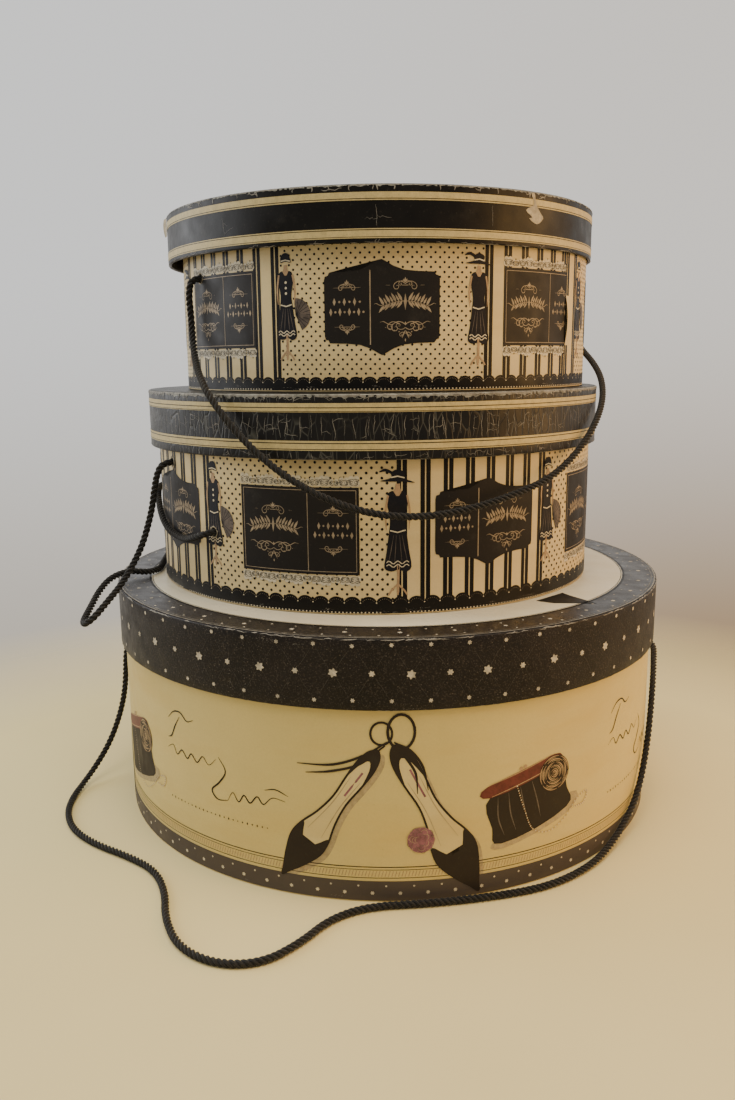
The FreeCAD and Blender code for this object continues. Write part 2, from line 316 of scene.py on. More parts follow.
class Wall(Table):
    """A round wall, where s runs along it to the right of the front, and z is height."""

    def __init__(self, node, corner=0.0, ripple=0.0):
        super().__init__(node)
        self.corner, self.ripple = corner, ripple

    def swell(self, angle):
        """A hand-made rim is never quite round: outward swelling at an angle."""
        waves = (3, 0.4), (5, 1.9), (8, 4.0), (13, 2.2)
        total = sum(math.sin(n * angle + phase) / n ** 0.5 for n, phase in waves)
        return self.ripple * (1 + total / 2.2)

    def place(self, s, z, lift):
        angle, height = s * MM / self.radius - math.pi / 2, z * MM
        reach = self.radius + lift * MM + self.swell(angle)
        for edge, inward in ((self.top - self.corner, 1), (self.low + self.corner, -1)):
            past = (height - edge) * inward
            if self.corner and past > 0:
                past = min(past, self.corner)
                reach -= self.corner - math.sqrt(self.corner ** 2 - past ** 2)
        return Vector((*polar(self.x, self.y, reach, angle), height))


# ---- flat shapes


def polar(x, y, reach, angle):
    """The point at a distance and an angle from a centre."""
    return x + reach * math.cos(angle), y + reach * math.sin(angle)


def smooth(points, steps=6, closed=False):
    """Points along a Catmull-Rom curve through the given ones."""
    points = [Vector(p) for p in points]
    if closed:
        ring = [points[-1], *points, points[0], points[1]]
    else:
        ring = [2 * points[0] - points[1], *points, 2 * points[-1] - points[-2]]
    made = []
    for a, b, c, d in zip(ring, ring[1:], ring[2:], ring[3:]):
        for t in (i / steps for i in range(steps)):
            made.append(0.5 * (
                2 * b + (c - a) * t + (2 * a - 5 * b + 4 * c - d) * t * t
                + (3 * b - a - 3 * c + d) * t ** 3
            ))
    return made if closed else [*made, points[-1]]


def arc(x, y, radius, start, end, steps=14, squash=1.0):
    """Points along an arc between two angles in degrees."""
    angles = [math.radians(start + (end - start) * i / steps) for i in range(steps + 1)]
    return [(x + radius * math.cos(a), y + squash * radius * math.sin(a)) for a in angles]


def spread(first, last, pitch):
    """The middles of equal steps between two ends, about a pitch apart."""
    count = round((last - first) / pitch)
    return [first + (i + 0.5) * (last - first) / count for i in range(count)]


class Ink:
    """Shapes of one colour, drawn flat in millimetres and then laid on a surface."""

    def __init__(self):
        self.points, self.faces = [], []

    def add(self, points, faces, lift):
        first = len(self.points)
        self.points += [(p[0], p[1], lift) for p in points]
        self.faces += [tuple(first + i for i in face) for face in faces]

    def strip(self, points, lift):
        """A ribbon between pairs of points."""
        self.add(points, [(i, i + 2, i + 3, i + 1) for i in range(0, len(points) - 2, 2)], lift)

    def spot(self, s, z, radius, lift, sides):
        self.add(arc(s, z, radius, 0, 360, sides)[:-1], [tuple(range(sides))], lift)

    def bar(self, s_low, s_high, z_low, z_high, lift=SHAPE):
        count = max(1, math.ceil((s_high - s_low) / STRIP_WIDTH))
        along = [s_low + (s_high - s_low) * i / count for i in range(count + 1)]
        self.strip([(s, z) for s in along for z in (z_low, z_high)], lift)

    def line(self, points, width, lift=DETAIL, start=1.0, end=1.0):
        """A ribbon along the points, whose ends may taper to a part of its width."""
        points = [Vector(p[:2]) for p in points]
        made = []
        for i, p in enumerate(points):
            along = points[min(i + 1, len(points) - 1)] - points[max(i - 1, 0)]
            if along.length < 1e-9:
                along = Vector((1, 0))
            side = Vector((-along.y, along.x)).normalized()
            t = i / (len(points) - 1)
            swell = start + (1 - start) * min(1, 3 * t) + (end - 1) * max(0, 3 * t - 2)
            half = side * width * max(0.12, swell) / 2
            made += [p - half, p + half]
        self.strip(made, lift)

    def rule(self, start, end, width, lift=DETAIL):
        """A straight line, in short runs so that it can bend round the wall."""
        start, end = Vector(start), Vector(end)
        count = max(1, math.ceil((end - start).length / STRIP_WIDTH))
        self.line([start.lerp(end, i / count) for i in range(count + 1)], width, lift)

    def area(self, outline, lift=SHAPE):
        """A filled outline, cut into strips that can bend round the wall."""
        sheet = bmesh.new()
        sheet.faces.new([sheet.verts.new((p[0], p[1], 0)) for p in outline])
        bmesh.ops.triangulate(sheet, faces=sheet.faces[:])
        low, high = min(p[0] for p in outline), max(p[0] for p in outline)
        for i in range(1, math.ceil((high - low) / STRIP_WIDTH)):
            split(sheet, low + i * STRIP_WIDTH, 1)
        sheet.normal_update()
        for face in sheet.faces:
            if face.normal.z < 0:
                face.normal_flip()
        sheet.verts.index_update()
        faces = [tuple(v.index for v in face.verts) for face in sheet.faces]
        self.add([v.co for v in sheet.verts], faces, lift)
        sheet.free()

    def lay(self, name, surface, finish, body, slot, holes=(), ends=()):
        """Makes the piece: the shapes on the surface, cut at the paper's ends and holes."""
        sheet = bmesh.new()
        points = [sheet.verts.new(p) for p in self.points]
        for face in self.faces:
            sheet.faces.new([points[i] for i in face])
        for at, outward in zip(ends, (-1, 1)):
            split(sheet, at, outward, clear_outer=True)
        for hole in holes:
            cut_hole(sheet, *hole)
        for v in sheet.verts:
            v.co = surface.place(*v.co)
        return piece_of(sheet, name, finish, body)


def lay_all(prefix, inks, surface, body, slot):
    """Lays inks that are given as piece name: (colour, ink)."""
    for name, (colour, ink) in inks.items():
        if ink.faces:
            ink.lay(f"{prefix}_{name}", surface, INKS[colour], body, slot)


def split(sheet, s, side, **settings):
    """Cuts all the flat shapes along an upright line."""
    everything = sheet.verts[:] + sheet.edges[:] + sheet.faces[:]
    bmesh.ops.bisect_plane(sheet, geom=everything, plane_co=(s, 0, 0), plane_no=(side, 0, 0),
                           **settings)


def cut_hole(sheet, s, z, radius, sides=12):
    """Cuts a round hole through the flat shapes."""
    corner = radius / math.cos(math.pi / sides)
    middle = Vector((s, z, 0))
    near = [f for f in sheet.faces if any(
        (v.co.xy - middle.xy).length < 40 for v in f.verts) and reaches(f, s, z, corner)]
    for i in range(sides):
        out = Vector((*polar(0, 0, 1, 2 * math.pi * i / sides), 0))
        near = [f for f in near if f.is_valid]
        geometry = list({x for f in near for x in (f, *f.edges, *f.verts)})
        if not geometry:
            return
        cut = bmesh.ops.bisect_plane(
            sheet, geom=geometry, plane_co=middle + out * radius, plane_no=out)
        near = [x for x in cut["geom"] if isinstance(x, bmesh.types.BMFace)]
    inside = [f for f in near if f.is_valid
              and (f.calc_center_median().xy - middle.xy).length < radius]
    bmesh.ops.delete(sheet, geom=inside, context="FACES")


def reaches(face, s, z, radius):
    """Whether a flat face's box comes near a hole."""
    wide, high = [v.co.x - s for v in face.verts], [v.co.y - z for v in face.verts]
    return all(min(span) < radius and max(span) > -radius for span in (wide, high))


def mesh_of(sheet, name):
    mesh = bpy.data.meshes.new(name)
    sheet.to_mesh(mesh)
    sheet.free()
    return mesh


def new_object(name, data):
    made = bpy.data.objects.new(name, data)
    bpy.context.scene.collection.objects.link(made)
    return made


def piece_of(sheet, name, finish, body):
    """A finished object from a bmesh, riding on its body."""
    mesh = mesh_of(sheet, name)
    mesh.materials.append(finish)
    mesh.shade_smooth()
    made = new_object(name, mesh)
    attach(made, body)
    return made


# ---- small motifs


def mirrored(points, s, z, size, flip_s=1, flip_z=1):
    return [(s + flip_s * size * p[0], z + flip_z * size * p[1]) for p in points]


def drawn_on(s, z, wide, high, degrees=0):
    """A function from parts of a width and a height to points, turned about (s, z)."""
    turn = math.radians(degrees)

    def at(a, b):
        a, b = a * wide, b * high
        return (s + a * math.cos(turn) - b * math.sin(turn),
                z + a * math.sin(turn) + b * math.cos(turn))

    return at


def curve(at, points, steps, closed=False):
    return smooth([at(*p) for p in points], steps, closed)


SCROLL = smooth([
    (0, 0), (0.25, 0.16), (0.55, 0.20), (0.85, 0.06), (1.0, -0.18), (0.88, -0.42),
    (0.66, -0.42), (0.56, -0.25), (0.66, -0.12), (0.78, -0.20),
], 3)
TAIL = smooth([(0, 0), (0.4, -0.10), (0.8, 0.05), (1.25, 0.28), (1.7, 0.18)], 3)


def diamond(ink, s, z, width, height, lift=DETAIL):
    ink.area([(s - width / 2, z), (s, z - height / 2), (s + width / 2, z), (s, z + height / 2)],
             lift)


def leaf(ink, s, z, length, width, turn):
    along = Vector((math.cos(math.radians(turn)), math.sin(math.radians(turn))))
    side = Vector((-along.y, along.x))
    shape = ((0, 0), (0.3, -0.5), (0.65, -0.4), (1, 0), (0.65, 0.4), (0.3, 0.5))
    ink.area([Vector((s, z)) + along * a * length + side * b * width for a, b in shape], DETAIL)


def finial(ink, s, z, width, up=1):
    """A small crown with scrolls on a tapering rule."""
    ink.line([(s - width / 2, z), (s, z), (s + width / 2, z)], 0.36, start=0.2, end=0.2)
    for flip in (-1, 1):
        ink.line(mirrored(SCROLL, s, z + up * 0.8, width * 0.30, flip, up), 0.34, end=0.4)
        ink.line(mirrored(SCROLL, s, z + up * 1.6, width * 0.17, flip, up), 0.30, end=0.4)
        leaf(ink, s, z + up * 1.6, 2.2, 0.8, 90 * up + flip * 34)
    diamond(ink, s, z + up * 3.0, 1.2, 2.8)


def flourish(ink, s, z, width):
    """Mirrored scrollwork that hangs from a centre diamond."""
    size = width * 0.22
    # Each curl: its shape, steps sideways and down, size, line width, taper and way up.
    curls = ((SCROLL, 0, 0, 1.2, 0.42, 0.4, 1), (SCROLL, 0.55, -0.2 / size, 1.0, 0.36, 0.4, 1),
             (TAIL, 1.0, -0.4 / size, 0.72, 0.38, 0.2, 1), (SCROLL, 0, 0.25, 0.8, 0.36, 0.4, -1),
             (SCROLL, 0, 0.75, 0.5, 0.34, 0.4, 1))
    for flip in (-1, 1):
        for shape, across, down, scale, width, taper, up in curls:
            curl = mirrored(shape, s + flip * size * across, z - size * down, size * scale, flip,
                            up)
            ink.line(curl, width, end=taper)
        for step, radius in ((0.55, 0.36), (0.95, 0.30), (1.35, 0.26), (1.7, 0.22)):
            ink.spot(s + flip * size * step, z - size * (0.78 - 0.32 * step), radius, DETAIL, 7)
        leaf(ink, s, z - size * 0.45, size * 0.8, 0.7, -90 + flip * 24)
    diamond(ink, s, z + 0.6, 1.2, 2.2)
    diamond(ink, s, z - size * 1.30, 0.9, 2.0)


def garland(ink, s, z, width, height):
    """An arched spray of leaves on a stem, in the place of a printed word."""
    reach = width / 2

    def stem(t):
        return s + reach * t, z - 0.12 * height + 0.34 * height * (1 - t * t)

    ink.line([stem(i / 8 - 1) for i in range(17)], 0.30, start=0.2, end=0.2)
    for i in range(1, 8):
        for flip in (-1, 1):
            base = stem(flip * i / 8)
            size = height * (0.60 if i % 2 else 0.44)
            leaf(ink, *base, size, size * 0.26, 90 - flip * 30)
            leaf(ink, *base, size * 0.85, size * 0.24, -90 + flip * 38)
    diamond(ink, s, z + 0.18 * height, height * 0.18, height * 0.95)
    for flip in (1, -1):
        ink.line(mirrored(TAIL, s + flip * reach * 0.92, z, 3.0, flip), 0.34, end=0.2)


def beads(ink, s, z, width, size, rows):
    """Short rows of lozenges and dots, in the place of small words."""
    for row in range(rows):
        level = z + (rows / 2 - 0.5 - row) * size * 1.25
        half = width / 2 * (1.0 if row % 2 else 0.78)
        count = max(3, round(2 * half / (size * 0.62)))
        for i in range(count + 1):
            at = s - half + 2 * half * i / count
            if i % 2 == 0:
                diamond(ink, at, level, size * 0.42, size)
            else:
                ink.spot(at, level, size * 0.15, DETAIL, 6)


def lace(inks, s_low, s_high, z, height, up):
    """A lacy border: a run of small scrolls on a ragged pale ground."""
    ground, ink = inks["pale"], inks["soft_black"]
    middles = spread(s_low, s_high, 5.6)
    pitch = (s_high - s_low) / len(middles)
    for i, middle in enumerate(middles):
        tall = height * (1.0, 0.70, 0.86)[i % 3]
        for step, size in ((0.25, 0.30), (0.62, 0.24)):
            for side in (-0.26, 0.26):
                ground.spot(middle + side * pitch, z + up * tall * step, tall * size, SHAPE, 9)
        for flip in (-1, 1):
            ink.line(mirrored(SCROLL, middle, z + up * tall * 0.50, pitch * 0.46, flip, up), 0.26,
                     FIGURE)
            ink.line(mirrored(SCROLL, middle, z + up * 0.9, pitch * 0.40, flip, -up), 0.24, FIGURE)
            curl = (middle + flip * pitch * 0.25, z + up * tall * 0.30, pitch * 0.17)
            ink.line(arc(*curl, 0, 330, 9), 0.22, FIGURE)
        diamond(ink, middle, z + up * tall * 0.88, 0.8, 1.2, FIGURE)
        ink.spot(middle + pitch / 2, z + up * height * 0.5, 0.32, FIGURE, 6)


def flower(ink, s, z, radius, lift):
    """A small round flower of petals with nicks between them."""
    petals, steps = 6, 4
    turn = dice.uniform(0, 60)
    outline = []
    for i in range(petals * steps):
        wave = 0.80 + 0.20 * math.cos(math.radians(i * 90))
        angle = math.radians(turn + i * 360 / (petals * steps))
        outline.append(polar(s, z, radius * wave, angle))
    ink.add(outline, [tuple(range(len(outline)))], lift)


# ---- the paper of the upper boxes


def label(inks, middle, z, width, height, kind):
    """A dark plaque with two cells, either square or with drawn-out top and foot."""
    half_w, half_h = width / 2, height / 2
    square = kind == "square"
    if square:
        outline = [(-half_w, -half_h), (half_w, -half_h), (half_w, half_h), (-half_w, half_h)]
    else:
        profile = (
            (1, 0.0), (1, 0.58), (0.985, 0.66), (0.93, 0.68), (0.91, 0.74), (0.62, 0.75),
            (0.38, 0.78), (0.20, 0.86), (0.07, 0.955), (0, 1),
        )
        corner = [(half_w * a, half_h * b) for a, b in profile]
        top = corner + [(-a, b) for a, b in corner[-2::-1]]
        outline = top + [(-a, -b) for a, b in corner[1:]] + [(a, -b) for a, b in corner[-2:0:-1]]
    centre = middle + (0.09 if square else -0.10) * width
    inks["soft_black"].area(mirrored(outline, middle, z, 1), FIGURE)
    fine = inks["gilt"]
    if square:
        across, upright = half_w - 1.7, half_h - 1.7
        corners = mirrored([(-across, -upright), (across, -upright), (across, upright),
                            (-across, upright)], middle, z, 1)
        for a, b in zip(corners, corners[1:] + corners[:1]):
            fine.rule(a, b, 0.34)
        fine.rule((centre, z - upright), (centre, z + upright), 0.40)
    else:
        fine.rule((centre, z - 0.78 * half_h), (centre, z + 0.78 * half_h), 0.62)
    left_cell, right_cell = (middle - half_w + centre) / 2, (middle + half_w + centre) / 2
    big, small = (left_cell, right_cell) if square else (right_cell, left_cell)
    big_width, small_width = 1.5 * abs(big - centre), 1.5 * abs(small - centre)
    finial(fine, big, z + 0.46 * half_h, big_width * 0.74)
    garland(fine, big, z + 0.05 * half_h, big_width * 0.92, height * 0.185)
    flourish(fine, big, z - 0.36 * half_h, big_width)
    finial(fine, small, z + 0.42 * half_h, small_width * 0.80)
    beads(fine, small, z + 0.02 * half_h, small_width * 0.95, height * 0.085, 2)
    finial(fine, small, z - 0.40 * half_h, small_width * 0.74, -1)


def dress_stand(inks, s, low, high, hat):
    """A plain dressmaker's stand wearing a drop-waist dress, with a hat on its pole."""
    tall = high - low
    black, pale, tan, grey = (inks[k] for k in ("night", "pale", "tan", "smoke"))
    at = drawn_on(s, low, tall, tall)

    def fill(ink, points, lift):
        ink.area(curve(at, points, 3, closed=True), lift)

    def stroke(ink, points, width, lift=DETAIL, *ends):
        ink.line([at(*p) for p in points], width, lift, *ends)

    stroke(tan, [(0, 0.02), (0.005, 0.25)], 1.5, FIGURE)
    for foot in (-0.075, 0.0, 0.075):
        stroke(tan, [(0, 0.09), (foot * 0.7, 0.035), (foot, 0.0)], 1.0, FIGURE)
    fill(black, [
        (-0.075, 0.80), (-0.080, 0.72), (-0.060, 0.60), (-0.068, 0.50), (-0.088, 0.34),
        (-0.105, 0.22), (-0.05, 0.19), (0.01, 0.205), (0.06, 0.185), (0.108, 0.225),
        (0.088, 0.36), (0.070, 0.50), (0.058, 0.60), (0.078, 0.72), (0.072, 0.80),
        (0.035, 0.825), (0.0, 0.79), (-0.035, 0.825),
    ], FIGURE)
    tan.area([at(*p) for p in (
        (-0.032, 0.82), (-0.010, 0.785), (0.012, 0.785), (0.032, 0.82), (0.020, 0.845),
        (0.018, 0.88), (-0.016, 0.88), (-0.020, 0.845),
    )], DETAIL)
    for level in (0.235, 0.262):
        hem = [-0.088 + 0.176 * i / 12 for i in range(13)]
        stroke(pale, [(a, level + 0.012 * math.cos(a * 90)) for a in hem], 0.55)
    stroke(pale, [(-0.060, 0.515), (0, 0.500), (0.062, 0.517)], 0.7)
    for fold in (-0.052, -0.018, 0.024, 0.056):
        pleat = [(fold * 0.6, 0.48), (fold, 0.36), (fold * 1.35, 0.27)]
        stroke(grey, pleat, 0.45, DETAIL, 0.3, 0.3)
    for side in (-1, 1):
        sash = [(side * 0.074, 0.79), (side * 0.094, 0.66), (side * 0.088, 0.52)]
        tan.line(curve(at, sash, 4), 1.1, DETAIL, 1.0, 0.3)
    if hat:
        fill(black, [(-0.135, 0.90), (-0.05, 0.925), (-0.050, 0.965), (0.0, 0.99),
                     (0.055, 0.965), (0.055, 0.92), (0.135, 0.885), (0.03, 0.895)], TOP)
        plume = [(-0.03, 0.955), (-0.09, 0.985), (-0.14, 0.972)]
        black.line(curve(at, plume, 5), 1.6, TOP, 1, 0.3)
        stroke(pale, [(-0.05, 0.928), (0.0, 0.938), (0.054, 0.924)], 0.7, OVER)
    else:
        fill(black, [(-0.050, 0.90), (-0.050, 0.95), (-0.02, 0.985), (0.03, 0.982),
                     (0.050, 0.94), (0.058, 0.90), (0.0, 0.91)], TOP)
        stroke(pale, [(-0.048, 0.915), (0.0, 0.925), (0.055, 0.912)], 0.7, OVER)
        hinge = at(0.10, 0.42)
        fan = [hinge, *arc(*hinge, 0.155 * tall, -65, 95, 10)]
        grey.area(fan, FIGURE)
        for rib in fan[1:]:
            black.line([hinge, rib], 0.28, DETAIL)
        for button in (0.62, 0.67, 0.72):
            pale.spot(*at(0.0, button), 0.75, DETAIL, 8)


# The papers of the two upper boxes, in millimetres from their repeating dotted panel's
# left edge: panel widths, bars, plaques (kind, middle, height up, width, height) and
# dressmaker's stands (middle, foot, top, with a wide hat).
LOOKS = {
    "middle": dict(
        start=-107.5, stripes=102.0, dotted=122.0, bar=6.0, bars=8, dot=0.85, dot_pitch=5.9,
        band=6.6, scallop=9.4, lace=7.0,
        plaques=(("drawn", -45.5, 209.4, 68, 52), ("square", 63.5, 206.5, 74, 51)),
        stands=((3.0, 180, 245, False), (122.5, 169, 243, True)),
    ),
    "top": dict(
        start=-62.5, stripes=97.0, dotted=122.0, bar=5.5, bars=8, dot=0.70, dot_pitch=5.3,
        band=4.8, scallop=8.0, lace=6.4,
        plaques=(("square", -50.8, 332.7, 66, 44), ("drawn", 61.2, 331.9, 66, 52.4)),
        stands=((4.5, 303.5, 363.8, False), (118.0, 299.6, 362.4, True)),
    ),
}


def panel_paper(inks, wall, first, last, look):
    """The paper of the upper boxes: striped and dotted panels in turn, above a foot."""
    floor, top = wall.low / MM + look["band"] + 1.5, wall.top / MM - 1.0
    black, cream_gap = inks["black"], 0.75
    pitch = (look["stripes"] - look["bar"]) / (look["bars"] - 1)
    half = (look["bar"] - cream_gap) / 2
    repeat = look["dotted"] + look["stripes"]
    start = look["start"]
    while start > first:
        start -= repeat
    while start < last + look["stripes"]:
        stripes = start + look["dotted"]
        draw_dots(black, start, stripes, floor, top, look)
        for i in range(look["bars"]):
            for side in (0, half + cream_gap):
                left = stripes + i * pitch + side
                black.bar(left, left + half, floor, top, GROUND)
        for kind, shift, z, width, height in look["plaques"]:
            middle = start + shift
            label(inks, middle, z, width, height, kind)
            if kind == "square":
                for up in (1, -1):
                    lace(inks, middle - width / 2, middle + width / 2,
                         z + up * (height / 2 + 0.8), look["lace"], up)
        for shift, z_low, z_high, hat in look["stands"]:
            dress_stand(inks, start + shift, z_low, z_high, hat)
        start += repeat
    scalloped_foot(inks, first, last, wall.low / MM, look["band"], look["scallop"])


def draw_dots(ink, left, right, low, high, look):
    row, level = 0, low + 1.0
    while level < high - 1:
        s = left + 1.5 + (look["dot_pitch"] / 2 if row % 2 else 0)
        while s < right - 0.8:
            ink.spot(s, level, look["dot"], GROUND, 8)
            s += look["dot_pitch"]
        row += 1
        level += look["dot_pitch"] / 2


def scalloped_foot(inks, first, last, low, band, scallop):
    """Black band with a scalloped upper edge, thin piping and a row of beads."""
    black, gilt, pale = inks["black"], inks["gilt"], inks["pale"]
    black.bar(first, last, low + 0.5, low + band, SHAPE)
    middles = spread(first, last, scallop)
    pitch = (last - first) / len(middles)
    for middle in middles:
        black.area(arc(middle, low + band - 0.1, pitch * 0.53, 0, 180, 12, 0.84), SHAPE)
        for s, z in arc(middle, low + band - 0.3, pitch * 0.40, 30, 150, 6, 0.31 / 0.40):
            gilt.spot(s, z, 0.17, FIGURE, 6)
        pale.spot(middle - pitch / 2, low + band + 0.3, 0.42, FIGURE, 7)
    worn_away = 0
    for s in spread(first, last, 2.2):
        if dice.random() < 0.02:
            worn_away = dice.randint(4, 14)
        worn_away -= 1
        if worn_away < 0:
            pale.spot(s, low + 1.1, 0.46, FIGURE, 7)


# ---- the paper of the bottom box


def shoe_pair(inks, shift):
    """Two pointed slippers lying heel to heel, tied with a ribbon."""
    slipper(inks, (-5 + shift, 92), (-62 + shift, 12), 10.5)
    slipper(inks, (4 + shift, 95), (53 + shift, 3), 12.5)
    rosette(inks, 19 + shift, 38, 7.8)
    ribbon = inks["charcoal"]
    ribbon.line(arc(-3 + shift, 102, 6, 0, 360, 24, 1.1), 1.3, OVER)
    ribbon.line(arc(8 + shift, 103, 7.5, 0, 360, 24, 1.35), 1.6, OVER)
    for tail in (
        [(0, 97), (-13, 89), (-30, 83), (-51, 82)],
        [(-1, 95), (-15, 84), (-31, 79), (-46, 77)],
        [(4, 97), (13, 92), (20, 82), (23, 68)],
        [(5, 95), (11, 87), (16, 78), (17, 66)],
    ):
        ribbon.line(mirrored(smooth(tail, 7), shift, 0, 1), 1.5, OVER, 0.6, 0.25)


def slipper(inks, heel, toe, half_width):
    """A pointed slipper from above: shadow, insole, dark rim, heel cup and toe cap."""
    heel, along = Vector(heel), Vector(toe) - Vector(heel)
    side = Vector((-along.y, along.x)).normalized() * half_width
    black, shade = inks["charcoal"], inks["shade"]

    def at(t, across):
        return heel + along * t + side * across

    def loop(tip, edge, base, steps=3):
        """A shape from its tip, by one edge, to its base, and back on the other side."""
        back = [(t, -w) for t, w in reversed(edge)]
        return curve(at, [(tip, 0), *edge, (base, 0), *back], steps, closed=True)

    toe_cap = ((0.95, 0.20), (0.86, 0.60), (0.74, 0.98), (0.62, 0.86), (0.70, 0.42))
    heel_cup = ((0.04, 0.36), (0.14, 0.52), (0.24, 0.50), (0.13, 0.30))
    sole = ((0.04, 0.36), (0.12, 0.52), (0.24, 0.50), (0.38, 0.42), (0.52, 0.60),
            (0.64, 0.92), (0.74, 0.98), (0.86, 0.60), (0.95, 0.20))
    whole = loop(0, sole, 1, 4)
    shade.area([p + Vector((3.0, -2.5)) for p in whole], GROUND)
    inks["insole"].area(whole, DETAIL)
    black.line([*whole, whole[0]], 1.2, TOP)
    black.area(loop(1, toe_cap, 0.73), TOP)
    black.area(loop(0, heel_cup, 0.08), TOP)
    for across in (-0.3, 0.3):
        seam = ((0.22, across), (0.42, across * 0.8), (0.64, across * 1.5))
        shade.line(curve(at, seam, 5), 0.6, TOP, 0.3, 0.3)
    inks["rose"].line([at(0.16, 0.08), at(0.34, 0.06)], 2.4, TOP, 0.5, 0.5)


def rosette(inks, s, z, radius):
    """A flat paper rosette of overlapping rings of petals."""
    rings = 4
    for ring in range(rings):
        level = OVER + 0.04 * ring
        size = radius * (1 - ring / rings)
        inks["rose"].area(arc(s, z, size, 0, 350, 22), level)
        petals = 9 - 2 * ring
        for i in range(petals):
            turn = i * 360 / petals + 17 * ring
            middle = polar(s, z, size * 0.8, math.radians(turn))
            ink = inks["smoke" if (i + ring) % 2 else "shade"]
            ink.line(arc(*middle, 1.9, turn - 95, turn + 95, 7), 0.26, level + 0.02, 0.4, 0.4)


BAG_WIDTH, BAG_HEIGHT, BAG_LEAN = 50, 36, 15


def hand_bag(inks, shift):
    """A small dark frame bag with a cloth rose on its clasp and a chain."""
    black, shade, red, tan = (inks[k] for k in ("charcoal", "shade", "red", "tan"))
    at = drawn_on(90 + shift, 36, BAG_WIDTH, BAG_HEIGHT, BAG_LEAN)

    def rounded(*points):
        return curve(at, points, 4, closed=True)

    shadow = rounded((-0.5, 0.0), (0.5, 0.0), (0.56, 0.3), (-0.54, 0.2))
    shade.area(mirrored(shadow, 2.5, -3, 1), GROUND)
    black.area(rounded((-0.48, 0.0), (-0.54, 0.32), (-0.46, 0.86), (0.44, 0.86), (0.54, 0.34),
                       (0.48, 0.0)), SHAPE)
    for a in (-0.38, -0.24, -0.08, 0.08):
        fold = ((a, 0.80), (a * 1.15, 0.45), (a * 1.1, 0.12))
        inks["smoke"].line(curve(at, fold, 5), 0.8, FIGURE, 0.2, 0.2)
    red.area(rounded((-0.47, 0.84), (-0.47, 1.04), (0.45, 1.04), (0.45, 0.84)), FIGURE)
    for b in (0.85, 1.05):
        tan.line([at(-0.45 + 0.11 * i, b) for i in range(9)], 0.55, DETAIL, 0.5, 0.5)
    for a in (-0.02, 0.04):
        tan.spot(*at(a, 1.10), 1.2, TOP, 9)
    rose = at(0.40, 0.72)
    black.area(arc(*rose, 11.2, 0, 345, 20), DETAIL)
    for ring, size in enumerate((10.4, 8.6, 6.6, 4.6, 2.6, 1.2)):
        petals = max(1, 5 - ring)
        for i in range(petals):
            start, sweep = i * 360 / petals + 47 * ring, 330 / petals
            tan.line(arc(*rose, size, start, start + sweep, 9), 0.7, TOP, 0.3, 0.3)
            inner = arc(*rose, size - 0.9, start + 12, start + sweep - 14, 7)
            shade.line(inner, 0.35, TOP, 0.3, 0.3)
    chain = ((-0.12, 0.84), (-0.10, 0.40), (-0.05, -0.02), (0.16, -0.22), (0.42, -0.16),
             (0.66, 0.02), (0.84, 0.02), (0.76, -0.14), (0.60, -0.10))
    for i, p in enumerate(curve(at, chain, 10)):
        inks["tan" if i % 2 else "pale"].spot(p[0], p[1], 0.45, TOP + 0.1, 7)


def pen_swash(inks, shift):
    """Loose pen strokes that only have the rhythm of handwriting."""
    ink = inks["soft_black"]
    strokes = (
        (0.9, [(-149, 90), (-143, 95), (-136, 96), (-130, 92), (-124, 94)]),
        (1.0, [(-137, 93), (-142, 86), (-146, 79), (-150, 77)]),
        (0.8, [(-151, 70), (-145, 73), (-141, 68), (-136, 72), (-131, 68), (-127, 72),
               (-122, 68), (-117, 73), (-112, 69), (-106, 74)]),
        (1.1, [(-104, 76), (-99, 68), (-104, 60), (-110, 54), (-106, 49), (-98, 50)]),
        (0.8, [(-98, 50), (-94, 56), (-90, 51), (-86, 56), (-82, 52), (-77, 57), (-73, 53),
               (-67, 58), (-59, 57)]),
        (0.7, [(-72, 62), (-65, 63.5), (-57, 60.5)]),
    )
    for width, points in strokes:
        ink.line(mirrored(smooth(points, 6), shift, 0, 1), width, SHAPE, 0.25, 0.25)
    for i in range(24):
        s, z = -149 + 3.4 * i + shift, 38.2 + 0.02 * i
        if i % 6 == 5:
            ink.spot(s, z, 0.4, SHAPE, 6)
        else:
            diamond(ink, s, z, 1.0, 1.9 if i % 2 else 1.3, SHAPE)


FOOT_BAND = 12.6
ART_SHIFTS = (-590, -287, 0, 303, 606)  # where the sheet of drawings starts again


def art_paper(inks, wall, first, last):
    """The bottom box: drawings on cream above a dotted black foot band."""
    for shift in ART_SHIFTS:
        shoe_pair(inks, shift)
        hand_bag(inks, shift)
        pen_swash(inks, shift)
    low = wall.low / MM
    inks["foot"].bar(first, last, low + 0.4, low + FOOT_BAND)
    for level, width in ((21.3, 0.5), (19.6, 0.3), (14.6, 0.35)):
        inks["soft_black"].bar(first, last, low + level - width / 2, low + level + width / 2)
    for s in spread(first, last, 1.9):
        inks["tan"].line([(s - 0.5, low + 15.5), (s + 0.5, low + 18.9)], 0.42, SHAPE)
    for s in spread(first, last, 15.8):
        flower(inks["pale"], s, low + 5.2, 1.25, FIGURE)
        flower(inks["pale"], s + 7.9, low + 9.6, 0.7, FIGURE)


# ---- the lids


RIM_CORNER = 0.0008
RIM_RIPPLE = 0.00016  # how far a rim swells, unevenly, out of its round
RIM_TURN_IN = 0.0119  # how far the band is turned over the lid's top, and up inside
RIM_STEPS = 288
RIM_THICKNESS = {"bottom": 0.0020, "middle": 0.0019, "top": 0.0018}
DISC_RADIUS = 167.5  # the cream disc on the bottom lid's top, in millimetres
